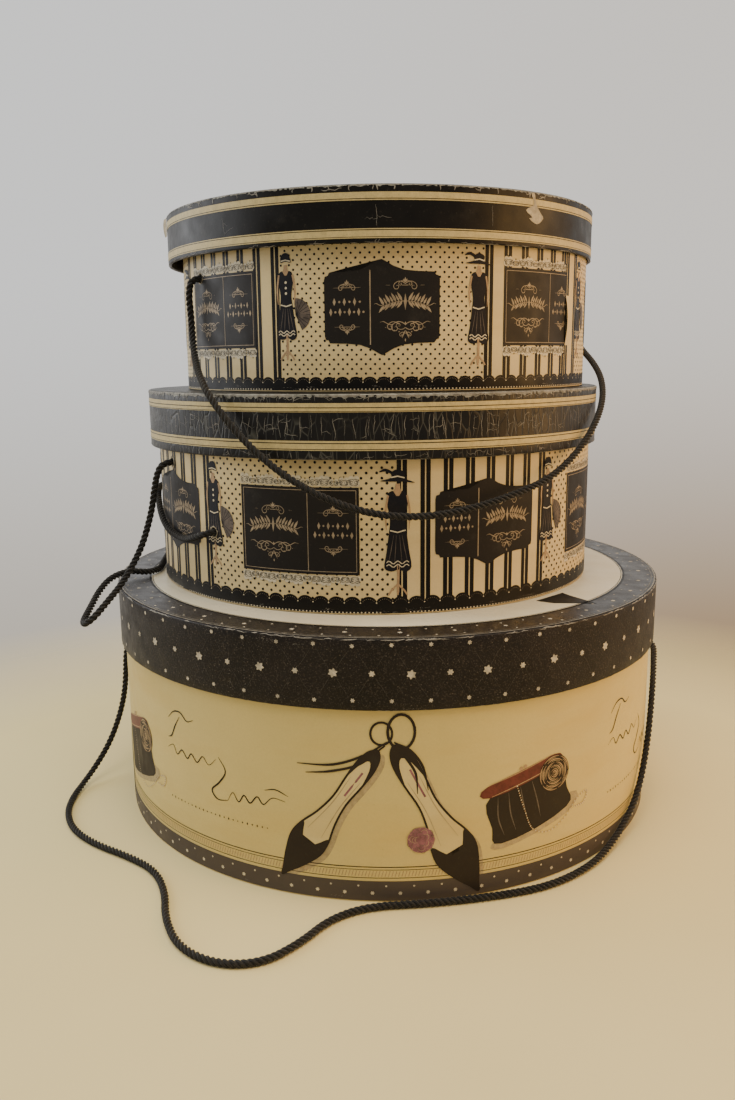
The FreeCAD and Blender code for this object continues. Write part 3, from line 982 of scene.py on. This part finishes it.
# Parts of the rim's height, from its hem, that are cream, or fine black rules on cream.
BAND_CREAM = {
    "middle": ((0.145, 0.295), (0.727, 0.865)),
    "top": ((0.081, 0.250), (0.726, 0.868)),
}
BAND_RULES = {
    "middle": ((0.160, 0.170), (0.250, 0.263), (0.736, 0.744), (0.790, 0.802)),
    "top": ((0.100, 0.109), (0.219, 0.232), (0.748, 0.760)),
}
# Cracked bands: parts of the height, millimetres between cracks, and their width.
BAND_CRACKS = {
    "middle": ((0.31, 0.70, 5.0, 0.26), (0.88, 0.99, 7.0, 0.30), (0.01, 0.13, 11, 0.25)),
    "top": ((0.88, 1.0, 17, 0.60), (0.27, 0.69, 90, 0.20), (0.01, 0.07, 30, 0.25)),
}
EDGE_WEAR = {
    "middle": dict(count=420, width=0.62, spread=1.6, rub=2.3),
    "top": dict(count=190, width=0.42, spread=0.6, rub=1.1),
}


def rim_sheet(prefix, finish):
    """The printed band round a lid's rim, turned over its top and its hem."""
    node = f"{prefix}_lid_rim_paper"
    wall = Wall(node, RIM_CORNER, RIM_RIPPLE)
    paper = wall.radius - Wall(f"{prefix}_lid_rim_board").radius
    outer, inner = wall.radius, wall.radius - RIM_THICKNESS[prefix]
    low, top, corner = wall.low, wall.top, RIM_CORNER
    seen = [(outer - RIM_TURN_IN, top), (outer - RIM_TURN_IN / 2, top)]
    seen += arc(outer - corner, top - corner, corner, 90, 0, 4)
    seen += [(outer, top + (low - top) * i / 8) for i in range(1, 8)]
    seen += arc(outer - corner, low + corner, corner, 0, -90, 4)
    seen += arc(inner + corner, low + corner, corner, -90, -180, 4)
    seen += [(inner, low + RIM_TURN_IN / 2), (inner, low + RIM_TURN_IN)]
    hidden = [
        (inner + paper, low + RIM_TURN_IN), (inner + paper, low + corner),
        (outer - paper, low + corner), (outer - paper, top - corner),
        (outer - RIM_TURN_IN, top - paper),
    ]
    sheet = bmesh.new()
    rings = []
    for i in range(RIM_STEPS):
        angle = 2 * math.pi * i / RIM_STEPS
        ring = []
        for reach, z in seen + hidden:
            if reach > outer - corner - 1e-6 and (reach, z) not in hidden:
                reach += wall.swell(angle)
            ring.append(sheet.verts.new((*polar(wall.x, wall.y, reach, angle), z)))
        rings.append(ring)
    for ring, following in zip(rings, rings[1:] + rings[:1]):
        join_rings(sheet, ring, following)
    bmesh.ops.recalc_face_normals(sheet, faces=sheet.faces[:])
    made = piece_of(sheet, f"{prefix}_lid_band", finish, f"{prefix}_lid")
    smooth_by_angle(made)
    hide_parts(node)
    return wall


def join_rings(sheet, ring, following):
    """Faces between two closed rings of corners."""
    for i in range(len(ring)):
        n = (i + 1) % len(ring)
        sheet.faces.new((ring[i], ring[n], following[n], following[i]))


def smooth_by_angle(obj, degrees=40):
    """Smooth shading, with real corners kept sharp."""
    sheet = bmesh.new()
    sheet.from_mesh(obj.data)
    for edge in sheet.edges:
        if len(edge.link_faces) == 2 and edge.calc_face_angle() > math.radians(degrees):
            edge.smooth = False
    sheet.to_mesh(obj.data)
    sheet.free()


def crack(ink, s, z_low, z_high, width, branches):
    """A jagged upright crack in the varnish, perhaps with side branches."""
    count = max(3, round((z_high - z_low) / 1.8))
    points, at = [], s
    for i in range(count + 1):
        at += dice.uniform(-0.9, 0.9) * 0.6
        points.append((at, z_low + (z_high - z_low) * i / count))
    ink.line(points, width, FIGURE, 0.5, 0.5)
    for _ in range(branches):
        run = [dice.choice(points[1:-1])]
        side = dice.choice((-1, 1))
        for _ in range(dice.randint(2, 5)):
            last = run[-1]
            step = (last[0] + side * dice.uniform(0.8, 2.0), last[1] + dice.uniform(-1.2, 1.2))
            run.append((step[0], min(max(step[1], z_low), z_high)))
        ink.line(run, width * 0.8, FIGURE, 0.8, 0.3)


def nicks(ink, wall, edge, count, width, reach, inward, longest=6):
    """Short rubbed strokes along one edge of a rim."""
    for _ in range(count):
        run = [(dice.uniform(0, wall.around()), edge + inward * dice.uniform(0, reach))]
        for _ in range(dice.randint(2, longest)):
            run.append((run[-1][0] + dice.uniform(0.8, 2.8),
                        edge + inward * dice.uniform(0, reach)))
        ink.line(run, dice.uniform(0.5, 1.2) * width, DETAIL, 0.3, 0.3)


def banded_lid(prefix, finish):
    """A black lid with cream bands: the bands, fine rules, cracks and worn edges."""
    wall = rim_sheet(prefix, finish)
    low, top, around = wall.low / MM, wall.top / MM, wall.around()
    tall = top - low
    cream, black, worn, raw = Ink(), Ink(), Ink(), Ink()
    for ink, bands, lift in ((cream, BAND_CREAM, SHAPE), (black, BAND_RULES, FIGURE)):
        for a, b in bands[prefix]:
            ink.bar(0, around, low + a * tall, low + b * tall, lift)
    for a, b, pitch, width in BAND_CRACKS[prefix]:
        s = 0.0
        while s < around:
            z_low, z_high = low + a * tall, low + b * tall
            start = z_low + dice.uniform(0, 0.25) * (z_high - z_low)
            end = z_high - dice.uniform(0, 0.2) * (z_high - z_low)
            crack(worn, s, start, end, dice.uniform(0.5, 1.2) * width, dice.choice((0, 0, 1, 2)))
            s += pitch * dice.uniform(0.5, 1.5)
    edge = EDGE_WEAR[prefix]
    nicks(worn, wall, top, edge["count"], edge["width"], edge["spread"], -1)
    nicks(worn, wall, low, 110, 0.32, 0.6, 1)
    if prefix == "top":
        torn_scar(raw)
        curled_strip("top_lid_peeled_flap", wall, (-196, -188), (384.5, 396), (391, 9, 2.0),
                     INKS["raw"], "top_lid")
    lay_all(f"{prefix}_lid", {
        "cream_bands": ("cream", cream), "fine_rules": ("black", black),
        "wear": ("worn", worn), "torn_place": ("raw", raw),
    }, wall, f"{prefix}_lid", "banded_print")
    edge_rub(prefix, wall, edge["rub"])


def edge_rub(prefix, wall, depth):
    """The rim's rounded top edge, where the black has rubbed off down to grey paper."""
    around, top = wall.around(), wall.top / MM
    rub, columns = Ink(), []
    steps = round(around / 1.5)
    for i in range(steps + 1):
        reach = depth * (0.6 + 0.7 * dice.random() ** 2)
        columns.append([(around * i / steps, top - reach * part ** 2)
                        for part in (0, 0.25, 0.5, 0.75, 1)])
    for left, right in zip(columns, columns[1:]):
        rows = 4 if dice.random() < 0.85 else 2
        for j in range(rows):
            rub.add([left[j + 1], right[j + 1], right[j], left[j]], [(0, 1, 2, 3)], SHAPE)
    lay_all(f"{prefix}_lid", {"rubbed_edge": ("rubbed", rub)}, wall, f"{prefix}_lid",
            "banded_print")


def torn_scar(ink):
    """The torn place on the top lid's front: bared paper and loose fibres. Its curl of paper is a
    strip of its own.
    """
    scar = [(94.7, 395.4), (96.8, 389.7), (90.5, 386.2), (95.7, 382.7), (93.2, 381.7),
            (99.8, 379.1), (105.2, 382.7), (102.3, 385.9), (98.6, 390.5), (97.4, 395.6)]
    ink.area(smooth(scar, 3, closed=True), DETAIL)
    for _ in range(40):
        s, z = dice.gauss(98, 2.4), dice.uniform(380, 395)
        reach = dice.uniform(0.8, 2.4)
        ink.line([(s, z), (s + dice.uniform(-0.8, 0.8), z - reach)], 0.22, TOP, 0.4, 0.2)


def speckled_lid(finish):
    """The bottom lid: flowers in a lattice, faint folds between them, scuffed edges."""
    wall = rim_sheet("bottom", finish)
    low, top = wall.low / MM, wall.top / MM
    pale, fold, worn = Ink(), Ink(), Ink()
    count = 2 * round(wall.around() / 43.2)
    pitch = wall.around() / count
    middle = low + 21.2
    for i in range(count):
        s = 13.5 + i * pitch
        flower(pale, s, middle + dice.uniform(-0.4, 0.4), 1.9 if i % 2 else 2.8, FIGURE)
        for level in (5.6, 37.0):
            flower(pale, s + pitch / 2, low + level + dice.uniform(-0.5, 0.5), 1.35, FIGURE)
        for side, up in ((-1, 1), (-1, -1), (1, 1), (1, -1)):
            begin = Vector((s + side * 1.8, middle + up * 2.4))
            end = Vector((s + side * (pitch / 2 - 1.5), middle + up * 13.8))
            bend = begin.lerp(end, 0.5) + Vector((dice.uniform(-0.5, 0.5), 0))
            fold.line(smooth([begin, bend, end], 4), dice.uniform(0.14, 0.24), SHAPE, 0.6, 0.15)
    nicks(worn, wall, top, 210, 0.4, 0.9, -1, 5)
    nicks(worn, wall, low, 120, 0.3, 0.6, 1)
    for s, z, wide, high in ((-66, top - 3.2, 14, 2.2), (-50, top - 4.6, 9, 1.4),
                             (-92, low + 12, 1.2, 14), (-82, low + 16, 0.7, 18),
                             (12, low + 1.2, 10, 0.8), (-96, low + 1.4, 12, 0.9)):
        scuff(worn, s, z, wide, high)
    lay_all("bottom_lid", {
        "flowers": ("flower", pale), "folds": ("crease", fold), "wear": ("worn", worn),
    }, wall, "bottom_lid", "black_speckled_print")


def scuff(ink, s, z, wide, high):
    """A rubbed patch: broken short strokes."""
    for _ in range(round(5 + wide * high * 0.7)):
        a, b = dice.gauss(0, 0.32) * wide, dice.gauss(0, 0.32) * high
        reach = dice.uniform(0.3, 1.1)
        tilt = dice.uniform(-0.3, 0.3)
        ink.line([(s + a, z + b), (s + a + reach, z + b + tilt * reach)],
                 dice.uniform(0.12, 0.35), DETAIL, 0.4, 0.4)


def disc_ring(ink, inner, outer, lift, steps=180):
    points = []
    for i in range(steps + 1):
        angle = 2 * math.pi * i / steps
        points += [polar(0, 0, inner, angle), polar(0, 0, outer, angle)]
    ink.add(points, [(i, i + 1, i + 3, i + 2) for i in range(0, 2 * steps, 2)], lift)


def bottom_lid_top():
    """The printed top of the bottom lid: cream disc, thin black rings, flowers, and a black wedge
    that is a painted shadow of the middle box.
    """
    table = Table("bottom_lid_top_paper")
    edge = table.radius / MM
    cream, black, pale, worn = Ink(), Ink(), Ink(), Ink()
    disc_ring(cream, 0.01, DISC_RADIUS, GROUND, 220)
    disc_ring(black, DISC_RADIUS - 0.9, DISC_RADIUS - 0.4, SHAPE)
    disc_ring(black, DISC_RADIUS + 0.5, DISC_RADIUS + 1.6, SHAPE)
    # Painted shadow: a black wedge that runs from under the middle box's foot out over the cream
    # disc.
    black.area([(92, -112), (102, -118), (128, -119), (115.5, -99), (112, -92)], SHAPE)
    for ring, radius, count in ((173.2, 0.7, 74), (178.8, 1.5, 37), (184.6, 0.8, 74)):
        for i in range(count):
            angle = 2 * math.pi * (i + 0.25 * (ring > 180)) / count
            flower(pale, *polar(0, 0, ring, angle), radius * dice.uniform(0.85, 1.15), SHAPE)
    disc_ring(worn, edge - 0.75, edge, SHAPE, 360)
    disc_ring(worn, edge - 2.6, edge - 2.3, SHAPE, 360)
    for _ in range(120):
        angle, reach = dice.uniform(0, 2 * math.pi), edge - abs(dice.gauss(0, 1.2))
        along = [polar(0, 0, reach, angle + k * 0.006) for k in range(dice.randint(2, 5))]
        worn.line(along, dice.uniform(0.2, 0.5), FIGURE, 0.3, 0.3)
    lay_all("bottom_lid_top", {
        "disc": ("cream_disc", cream), "lines": ("black", black),
        "flowers": ("flower", pale), "wear": ("worn", worn),
    }, table, "bottom_lid", "black_speckled_print")


# ---- cords


CORD = 0.004
STRANDS = 3
STRAND_BULGE = 1.27  # a strand's radius against that of touching circles
CORD_STAND_OFF = 0.006
KNOT_FACE = 0.00315  # from the wall's outside in to the face of the stopper knot
# For each box: the holes' (degrees, height), and its cord's route in metres
# between the stretches that stand off the two holes. Routes are those of the CAD solids.
CORD_HOLES = {
    "bottom": ((180, 0.098), (0, 0.098)),
    "middle": ((211.5, 0.240), (230, 0.2005)),
    "top": ((214, 0.354), (34, 0.354)),
}
CORD_ROUTES = {
    "bottom": (
        (-0.196, 0, 0.089), (-0.1965, -0.001, 0.075), (-0.198, -0.004, 0.057),
        (-0.202, -0.009, 0.040), (-0.2075, -0.016, 0.0245), (-0.215, -0.027, 0.011),
        (-0.221, -0.043, 0.003), (-0.222, -0.063, 0.0023), (-0.218, -0.086, 0.0023),
        (-0.206, -0.109, 0.0023), (-0.186, -0.127, 0.0023), (-0.162, -0.141, 0.0023),
        (-0.141, -0.157, 0.0023), (-0.129, -0.180, 0.0023), (-0.123, -0.207, 0.0023),
        (-0.110, -0.233, 0.0023), (-0.088, -0.247, 0.0023), (-0.064, -0.246, 0.0023),
        (-0.046, -0.229, 0.0023), (-0.032, -0.208, 0.0023), (-0.011, -0.1955, 0.0023),
        (0.022, -0.1925, 0.0023), (0.058, -0.186, 0.0023), (0.094, -0.175, 0.0023),
        (0.123, -0.153, 0.0025), (0.141, -0.130, 0.005), (0.153, -0.1135, 0.011),
        (0.162, -0.101, 0.019), (0.169, -0.089, 0.030), (0.176, -0.0745, 0.048),
        (0.1815, -0.060, 0.068), (0.187, -0.043, 0.084), (0.192, -0.025, 0.092),
        (0.196, -0.010, 0.0965),
    ),
    "middle": (
        (-0.146, -0.076, 0.234), (-0.149, -0.074, 0.223), (-0.151, -0.074, 0.211),
        (-0.154, -0.076, 0.199), (-0.158, -0.079, 0.186), (-0.163, -0.086, 0.1745),
        (-0.168, -0.096, 0.1645), (-0.174, -0.108, 0.1565), (-0.180, -0.116, 0.149),
        (-0.1865, -0.117, 0.1445), (-0.190, -0.107, 0.1445), (-0.190, -0.091, 0.149),
        (-0.189, -0.076, 0.1555), (-0.185, -0.061, 0.1615), (-0.176, -0.047, 0.163),
        (-0.165, -0.040, 0.160), (-0.160, -0.026, 0.1596), (-0.1625, -0.008, 0.1596),
        (-0.164, 0.012, 0.1605), (-0.1615, 0.031, 0.167), (-0.159, 0.040, 0.181),
        (-0.159, 0.039, 0.197), (-0.162, 0.027, 0.210), (-0.164, 0.008, 0.216),
        (-0.1615, -0.014, 0.214), (-0.1565, -0.033, 0.2085), (-0.151, -0.050, 0.2015),
        (-0.1435, -0.066, 0.1955), (-0.1335, -0.0815, 0.193), (-0.1245, -0.097, 0.194),
        (-0.1165, -0.108, 0.1975),
    ),
    "top": (
        (-0.122, -0.069, 0.345), (-0.122, -0.065, 0.332), (-0.121, -0.067, 0.320),
        (-0.1185, -0.077, 0.309), (-0.1145, -0.092, 0.300), (-0.109, -0.109, 0.293),
        (-0.103, -0.1235, 0.286), (-0.0935, -0.132, 0.2735), (-0.078, -0.140, 0.2565),
        (-0.057, -0.1475, 0.2395), (-0.033, -0.1525, 0.2265), (-0.006, -0.1545, 0.218),
        (0.022, -0.152, 0.216), (0.049, -0.144, 0.2195), (0.075, -0.131, 0.2255),
        (0.099, -0.1135, 0.233), (0.119, -0.091, 0.246), (0.1345, -0.067, 0.2615),
        (0.145, -0.040, 0.276), (0.1495, -0.014, 0.289), (0.1495, 0.013, 0.2995),
        (0.147, 0.040, 0.3085), (0.1435, 0.063, 0.320), (0.136, 0.083, 0.334),
        (0.1275, 0.0915, 0.346),
    ),
}


def hole_axis(wall, degrees, z, reach):
    return (*polar(wall.x, wall.y, reach, math.radians(degrees)), z)


def spline_points(points):
    """The points of a smooth NURBS line that has these as its control points."""
    curve = bpy.data.curves.new("route", "CURVE")
    curve.dimensions = "3D"
    curve.resolution_u = 36
    spline = curve.splines.new("NURBS")
    spline.points.add(len(points) - 1)
    for place, point in zip(spline.points, points):
        place.co = (*point, 1)
    spline.order_u = 3
    spline.use_endpoint_u = True
    holder = new_object("route", curve)
    bpy.context.view_layer.update()
    mesh = bpy.data.meshes.new_from_object(holder)
    found = [v.co.copy() for v in mesh.vertices]
    bpy.data.objects.remove(holder)
    bpy.data.curves.remove(curve)
    bpy.data.meshes.remove(mesh)
    return found


def rope(path, diameter, turn_length=0.0098, sides=8):
    """Twisted strands along a path, as one bmesh. Each bulges a little past its circle."""
    around = 1 / math.sin(math.pi / STRANDS)
    thick = diameter / 2 / (1 + around)
    sheet = bmesh.new()
    across = (path[1] - path[0]).normalized().orthogonal().normalized()
    travelled = 0.0
    previous = [None] * STRANDS
    for i, point in enumerate(path):
        along = (path[min(i + 1, len(path) - 1)] - path[max(i - 1, 0)]).normalized()
        across = (across - along * across.dot(along)).normalized()
        other = along.cross(across)
        if i:
            travelled += (point - path[i - 1]).length
        for k in range(STRANDS):
            turn = 2 * math.pi * (travelled / turn_length + k / STRANDS)
            out = across * math.cos(turn) + other * math.sin(turn)
            middle = point + out * (thick * around)
            ring = []
            for j in range(sides):
                a = 2 * math.pi * j / sides + turn
                direction = across * math.cos(a) + other * math.sin(a)
                ring.append(sheet.verts.new(middle + direction * thick * STRAND_BULGE))
            if previous[k]:
                join_rings(sheet, previous[k], ring)
            else:
                sheet.faces.new(ring[::-1])
            previous[k] = ring
    for ring in previous:
        sheet.faces.new(ring)
    return sheet


KNOT_SIZE, KNOT_DEPTH, KNOT_CORD = 0.00125, 0.0027, 0.0034
KNOT_STEPS = 96


def stopper_knots(prefix, path):
    """An overhand knot behind each hole, in the place of the CAD knots."""
    sheet = bmesh.new()
    for end, following in ((path[0], path[6]), (path[-1], path[-7])):
        inward = (end - following).normalized()
        side = inward.orthogonal().normalized()
        up = inward.cross(side)
        centre = end + inward * 0.0046
        loop = []
        for i in range(KNOT_STEPS + 1):
            t = 2 * math.pi * i / KNOT_STEPS
            a = KNOT_SIZE * (math.sin(t) + 2 * math.sin(2 * t))
            b = KNOT_SIZE * (math.cos(t) - 2 * math.cos(2 * t))
            loop.append(centre + side * a + up * b - inward * KNOT_DEPTH * math.sin(3 * t))
        mesh = mesh_of(rope(loop, KNOT_CORD, 0.0075, 7), "knot")
        sheet.from_mesh(mesh)
        bpy.data.meshes.remove(mesh)
    made = piece_of(sheet, f"{prefix}_stopper_knots", MATERIALS["twisted_cord"],
                    f"{prefix}_box")
    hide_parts(f"{prefix}_cord_knots")
    return made


def handle_cord(prefix):
    wall = Wall(f"{prefix}_wall_paper")
    ends = [
        (hole_axis(wall, *hole, wall.radius - KNOT_FACE),
         hole_axis(wall, *hole, wall.radius + CORD_STAND_OFF))
        for hole in CORD_HOLES[prefix]
    ]
    path = spline_points([*ends[0], *CORD_ROUTES[prefix], *reversed(ends[1])])
    made = piece_of(rope(path, CORD), f"{prefix}_handle_cord", MATERIALS["twisted_cord"],
                    f"{prefix}_box")
    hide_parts(f"{prefix}_cord")
    knots = stopper_knots(prefix, path)
    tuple(ends[0][0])


# ---- the walls' wear and prints


# Where the ends of each wall's paper meet, in millimetres to the right of the front.
SEAMS = {"bottom": 540.0, "middle": 360.0, "top": 131.0}
SCUFFS = {"bottom": 16, "middle": 46, "top": 22}


def worn_places(ink, prefix, wall):
    """Scuffs along the foot of a wall."""
    half, low = wall.around() / 2, wall.low / MM
    for _ in range(SCUFFS[prefix]):
        scuff(ink, dice.uniform(-half, half * 0.8), low + dice.uniform(0.8, 3.2),
              dice.uniform(2, 11), dice.uniform(0.5, 1.3))


def curled_strip(name, wall, span, heights, curl, finish, body):
    """A strip of paper on a wall. Its left edge stands off over part of its height."""
    across, upright = 8, 48
    middle, reach, proud = curl
    sheet = bmesh.new()
    grid = []
    for i in range(across + 1):
        s = span[0] + (span[1] - span[0]) * i / across
        column = []
        for j in range(upright + 1):
            z = heights[0] + (heights[1] - heights[0]) * j / upright
            loose = proud * max(0, 1 - ((z - middle) / reach) ** 2)
            lift = TOP + 0.06 + loose * (1 - i / across) ** 2
            column.append(sheet.verts.new(wall.place(s, z, lift)))
        grid.append(column)
    for left, right in zip(grid, grid[1:]):
        for j in range(upright):
            sheet.faces.new((left[j], right[j], right[j + 1], left[j + 1]))
    piece_of(sheet, name, finish, body)


def lap_seam(prefix, wall, slot):
    """The paper's plain margin, pasted over its beginning. On the top box it is loose."""
    seam = SEAMS[prefix]
    if prefix == "top":
        span, heights, curl = (seam, seam + 4.5), (311, 341), (326, 15, 1.6)
    else:
        span, curl = (seam, seam + 7), (0, 1, 0)
        heights = (wall.low / MM + 15, wall.top / MM - 1.2)
    curled_strip(f"{prefix}_wall_lap", wall, span, heights, curl, MATERIALS[slot],
                 f"{prefix}_box")


def hole_spots(prefix, wall):
    """The cord holes as (s, z, radius) in the print's millimetres, both ways round."""
    spots = []
    for degrees, z in CORD_HOLES[prefix]:
        s = math.radians((degrees + 90) % 360) * wall.radius / MM
        spots += [(s + turn * wall.around(), z / MM, 3.05) for turn in (-1, 0)]
    return spots


def torn_ring(ink, s, z, radius, steps=22):
    """Torn paper round a cord hole."""
    inner, outer = [], []
    for i in range(steps):
        angle = 2 * math.pi * i / steps
        inner.append(polar(s, z, radius, angle))
        outer.append(polar(s, z, radius + 0.25 + abs(dice.gauss(0, 0.45)), angle))
    faces = [(i, steps + i, steps + (i + 1) % steps, (i + 1) % steps) for i in range(steps)]
    ink.add(inner + outer, faces, TOP)


def print_walls():
    for prefix in BOXES:
        wall = Wall(f"{prefix}_wall_paper")
        ends = (SEAMS[prefix] - wall.around(), SEAMS[prefix])
        inks = {name: Ink() for name in INKS}
        if prefix == "bottom":
            art_paper(inks, wall, *ends)
        else:
            panel_paper(inks, wall, *ends, LOOKS[prefix])
        holes = hole_spots(prefix, wall)
        for hole in holes:
            if ends[0] < hole[0] < ends[1]:
                torn_ring(inks["raw"], *hole)
        worn_places(inks["worn"], prefix, wall)
        slot = "cream_print" if prefix == "bottom" else "striped_print"
        for name, ink in inks.items():
            if ink.faces:
                cut = holes if name != "raw" else ()
                ink.lay(f"{prefix}_wall_{name}_ink", wall, INKS[name], f"{prefix}_box", slot,
                        cut, ends)
        lap_seam(prefix, wall, slot)


def give_materials():
    """The materials of the CAD's own faces, one to a slot."""
    for name, node in frame["nodes"].items():
        for place in node.material_slots:
            finish = MATERIALS[place.material.name.split(".")[0]]
            place.material = LID_TOP_FINISH if name == "bottom_lid_top_paper" else finish


# ---- camera, light and floor


def look_from_photo_side():
    """The camera: its place, its lens and its small roll."""
    data = bpy.data.cameras.new("camera")
    data.lens = 30.41
    data.sensor_width = 36
    camera = new_object("camera", data)
    pitch, yaw, roll = 0.2002, -0.0199, -0.0098
    forward = Vector((math.sin(yaw) * math.cos(pitch), math.cos(yaw) * math.cos(pitch),
                      -math.sin(pitch)))
    level = Vector((math.cos(yaw), -math.sin(yaw), 0))
    upright = level.cross(forward)
    right = math.cos(roll) * level + math.sin(roll) * upright
    up = -math.sin(roll) * level + math.cos(roll) * upright
    turn = Matrix((right, up, -forward)).transposed().to_4x4()
    camera.matrix_world = Matrix.Translation((0, -0.6669, 0.3022)) @ turn
    bpy.context.scene.camera = camera


def lamp(name, place, height, size, power, colour):
    """A rectangular lamp that is aimed at a height on the stack's axis."""
    data = bpy.data.lights.new(name, "AREA")
    data.shape = "RECTANGLE"
    data.size, data.size_y = size
    data.energy, data.color = power, colour
    made = new_object(name, data)
    made.location = place
    aim = Vector((0, 0, height)) - Vector(place)
    made.rotation_euler = aim.to_track_quat("-Z", "Y").to_euler()


def backdrop(tree):
    """Soft grey-white light, warmer and dimmer low down and behind the camera."""
    sky = Nodes(tree, "Generated")
    direction = sky.wire("ShaderNodeSeparateXYZ", 0, {0: sky.position}).node.outputs

    def blend(axis, low, high, first, second):
        return sky.mix(sky.ramp(direction[axis], low, high, curve="SMOOTHSTEP"), first, second)

    low_tone = blend("X", -0.30, 0.40, (0.60, 0.535, 0.44), (0.42, 0.265, 0.12))
    high_tone = blend("X", -0.35, 0.35, (0.93, 0.925, 0.915), (0.90, 0.85, 0.785))
    tone = blend("Z", -0.36, 0.10, low_tone, high_tone)
    tone = blend("Y", -0.35, 0.45, (0.34, 0.325, 0.30), tone)
    sky.put(tone, tree.nodes["Background"].inputs["Color"])


def studio():
    """A pale floor, a soft backdrop, daylight from the left and a warm room on the right."""
    world = bpy.data.worlds.new("studio")
    bpy.context.scene.world = world
    world.use_nodes = True
    backdrop(world.node_tree)
    sheet = bmesh.new()
    bmesh.ops.create_circle(sheet, cap_ends=True, radius=1.1, segments=96)
    mesh = mesh_of(sheet, "floor")
    mesh.materials.append(studio_floor("floor_finish"))
    new_object("floor", mesh)
    lamp("window", (-1.25, 0.12, 0.65), 0.22, (1.2, 0.9), 9, (0.95, 0.97, 1.0))
    lamp("room_light", (1.10, -0.25, 0.50), 0.2, (0.8, 0.8), 10, (1.0, 0.54, 0.16))
    lamp("overhead", (0.05, -0.50, 1.5), 0.2, (1.2, 1.2), 19, (1.0, 0.88, 0.66))


for leftover in [o for o in bpy.data.objects if o.name in ("Cube", "Light", "Camera")]:
    bpy.data.objects.remove(leftover)
give_materials()
print_walls()
speckled_lid(MATERIALS["black_speckled_print"])
bottom_lid_top()
banded_lid("middle", MATERIALS["banded_print"])
banded_lid("top", black_ink("satin_black_finish", BLACK, 0.34, 0.5))
for prefix in BOXES:
    handle_cord(prefix)
look_from_photo_side()
studio()
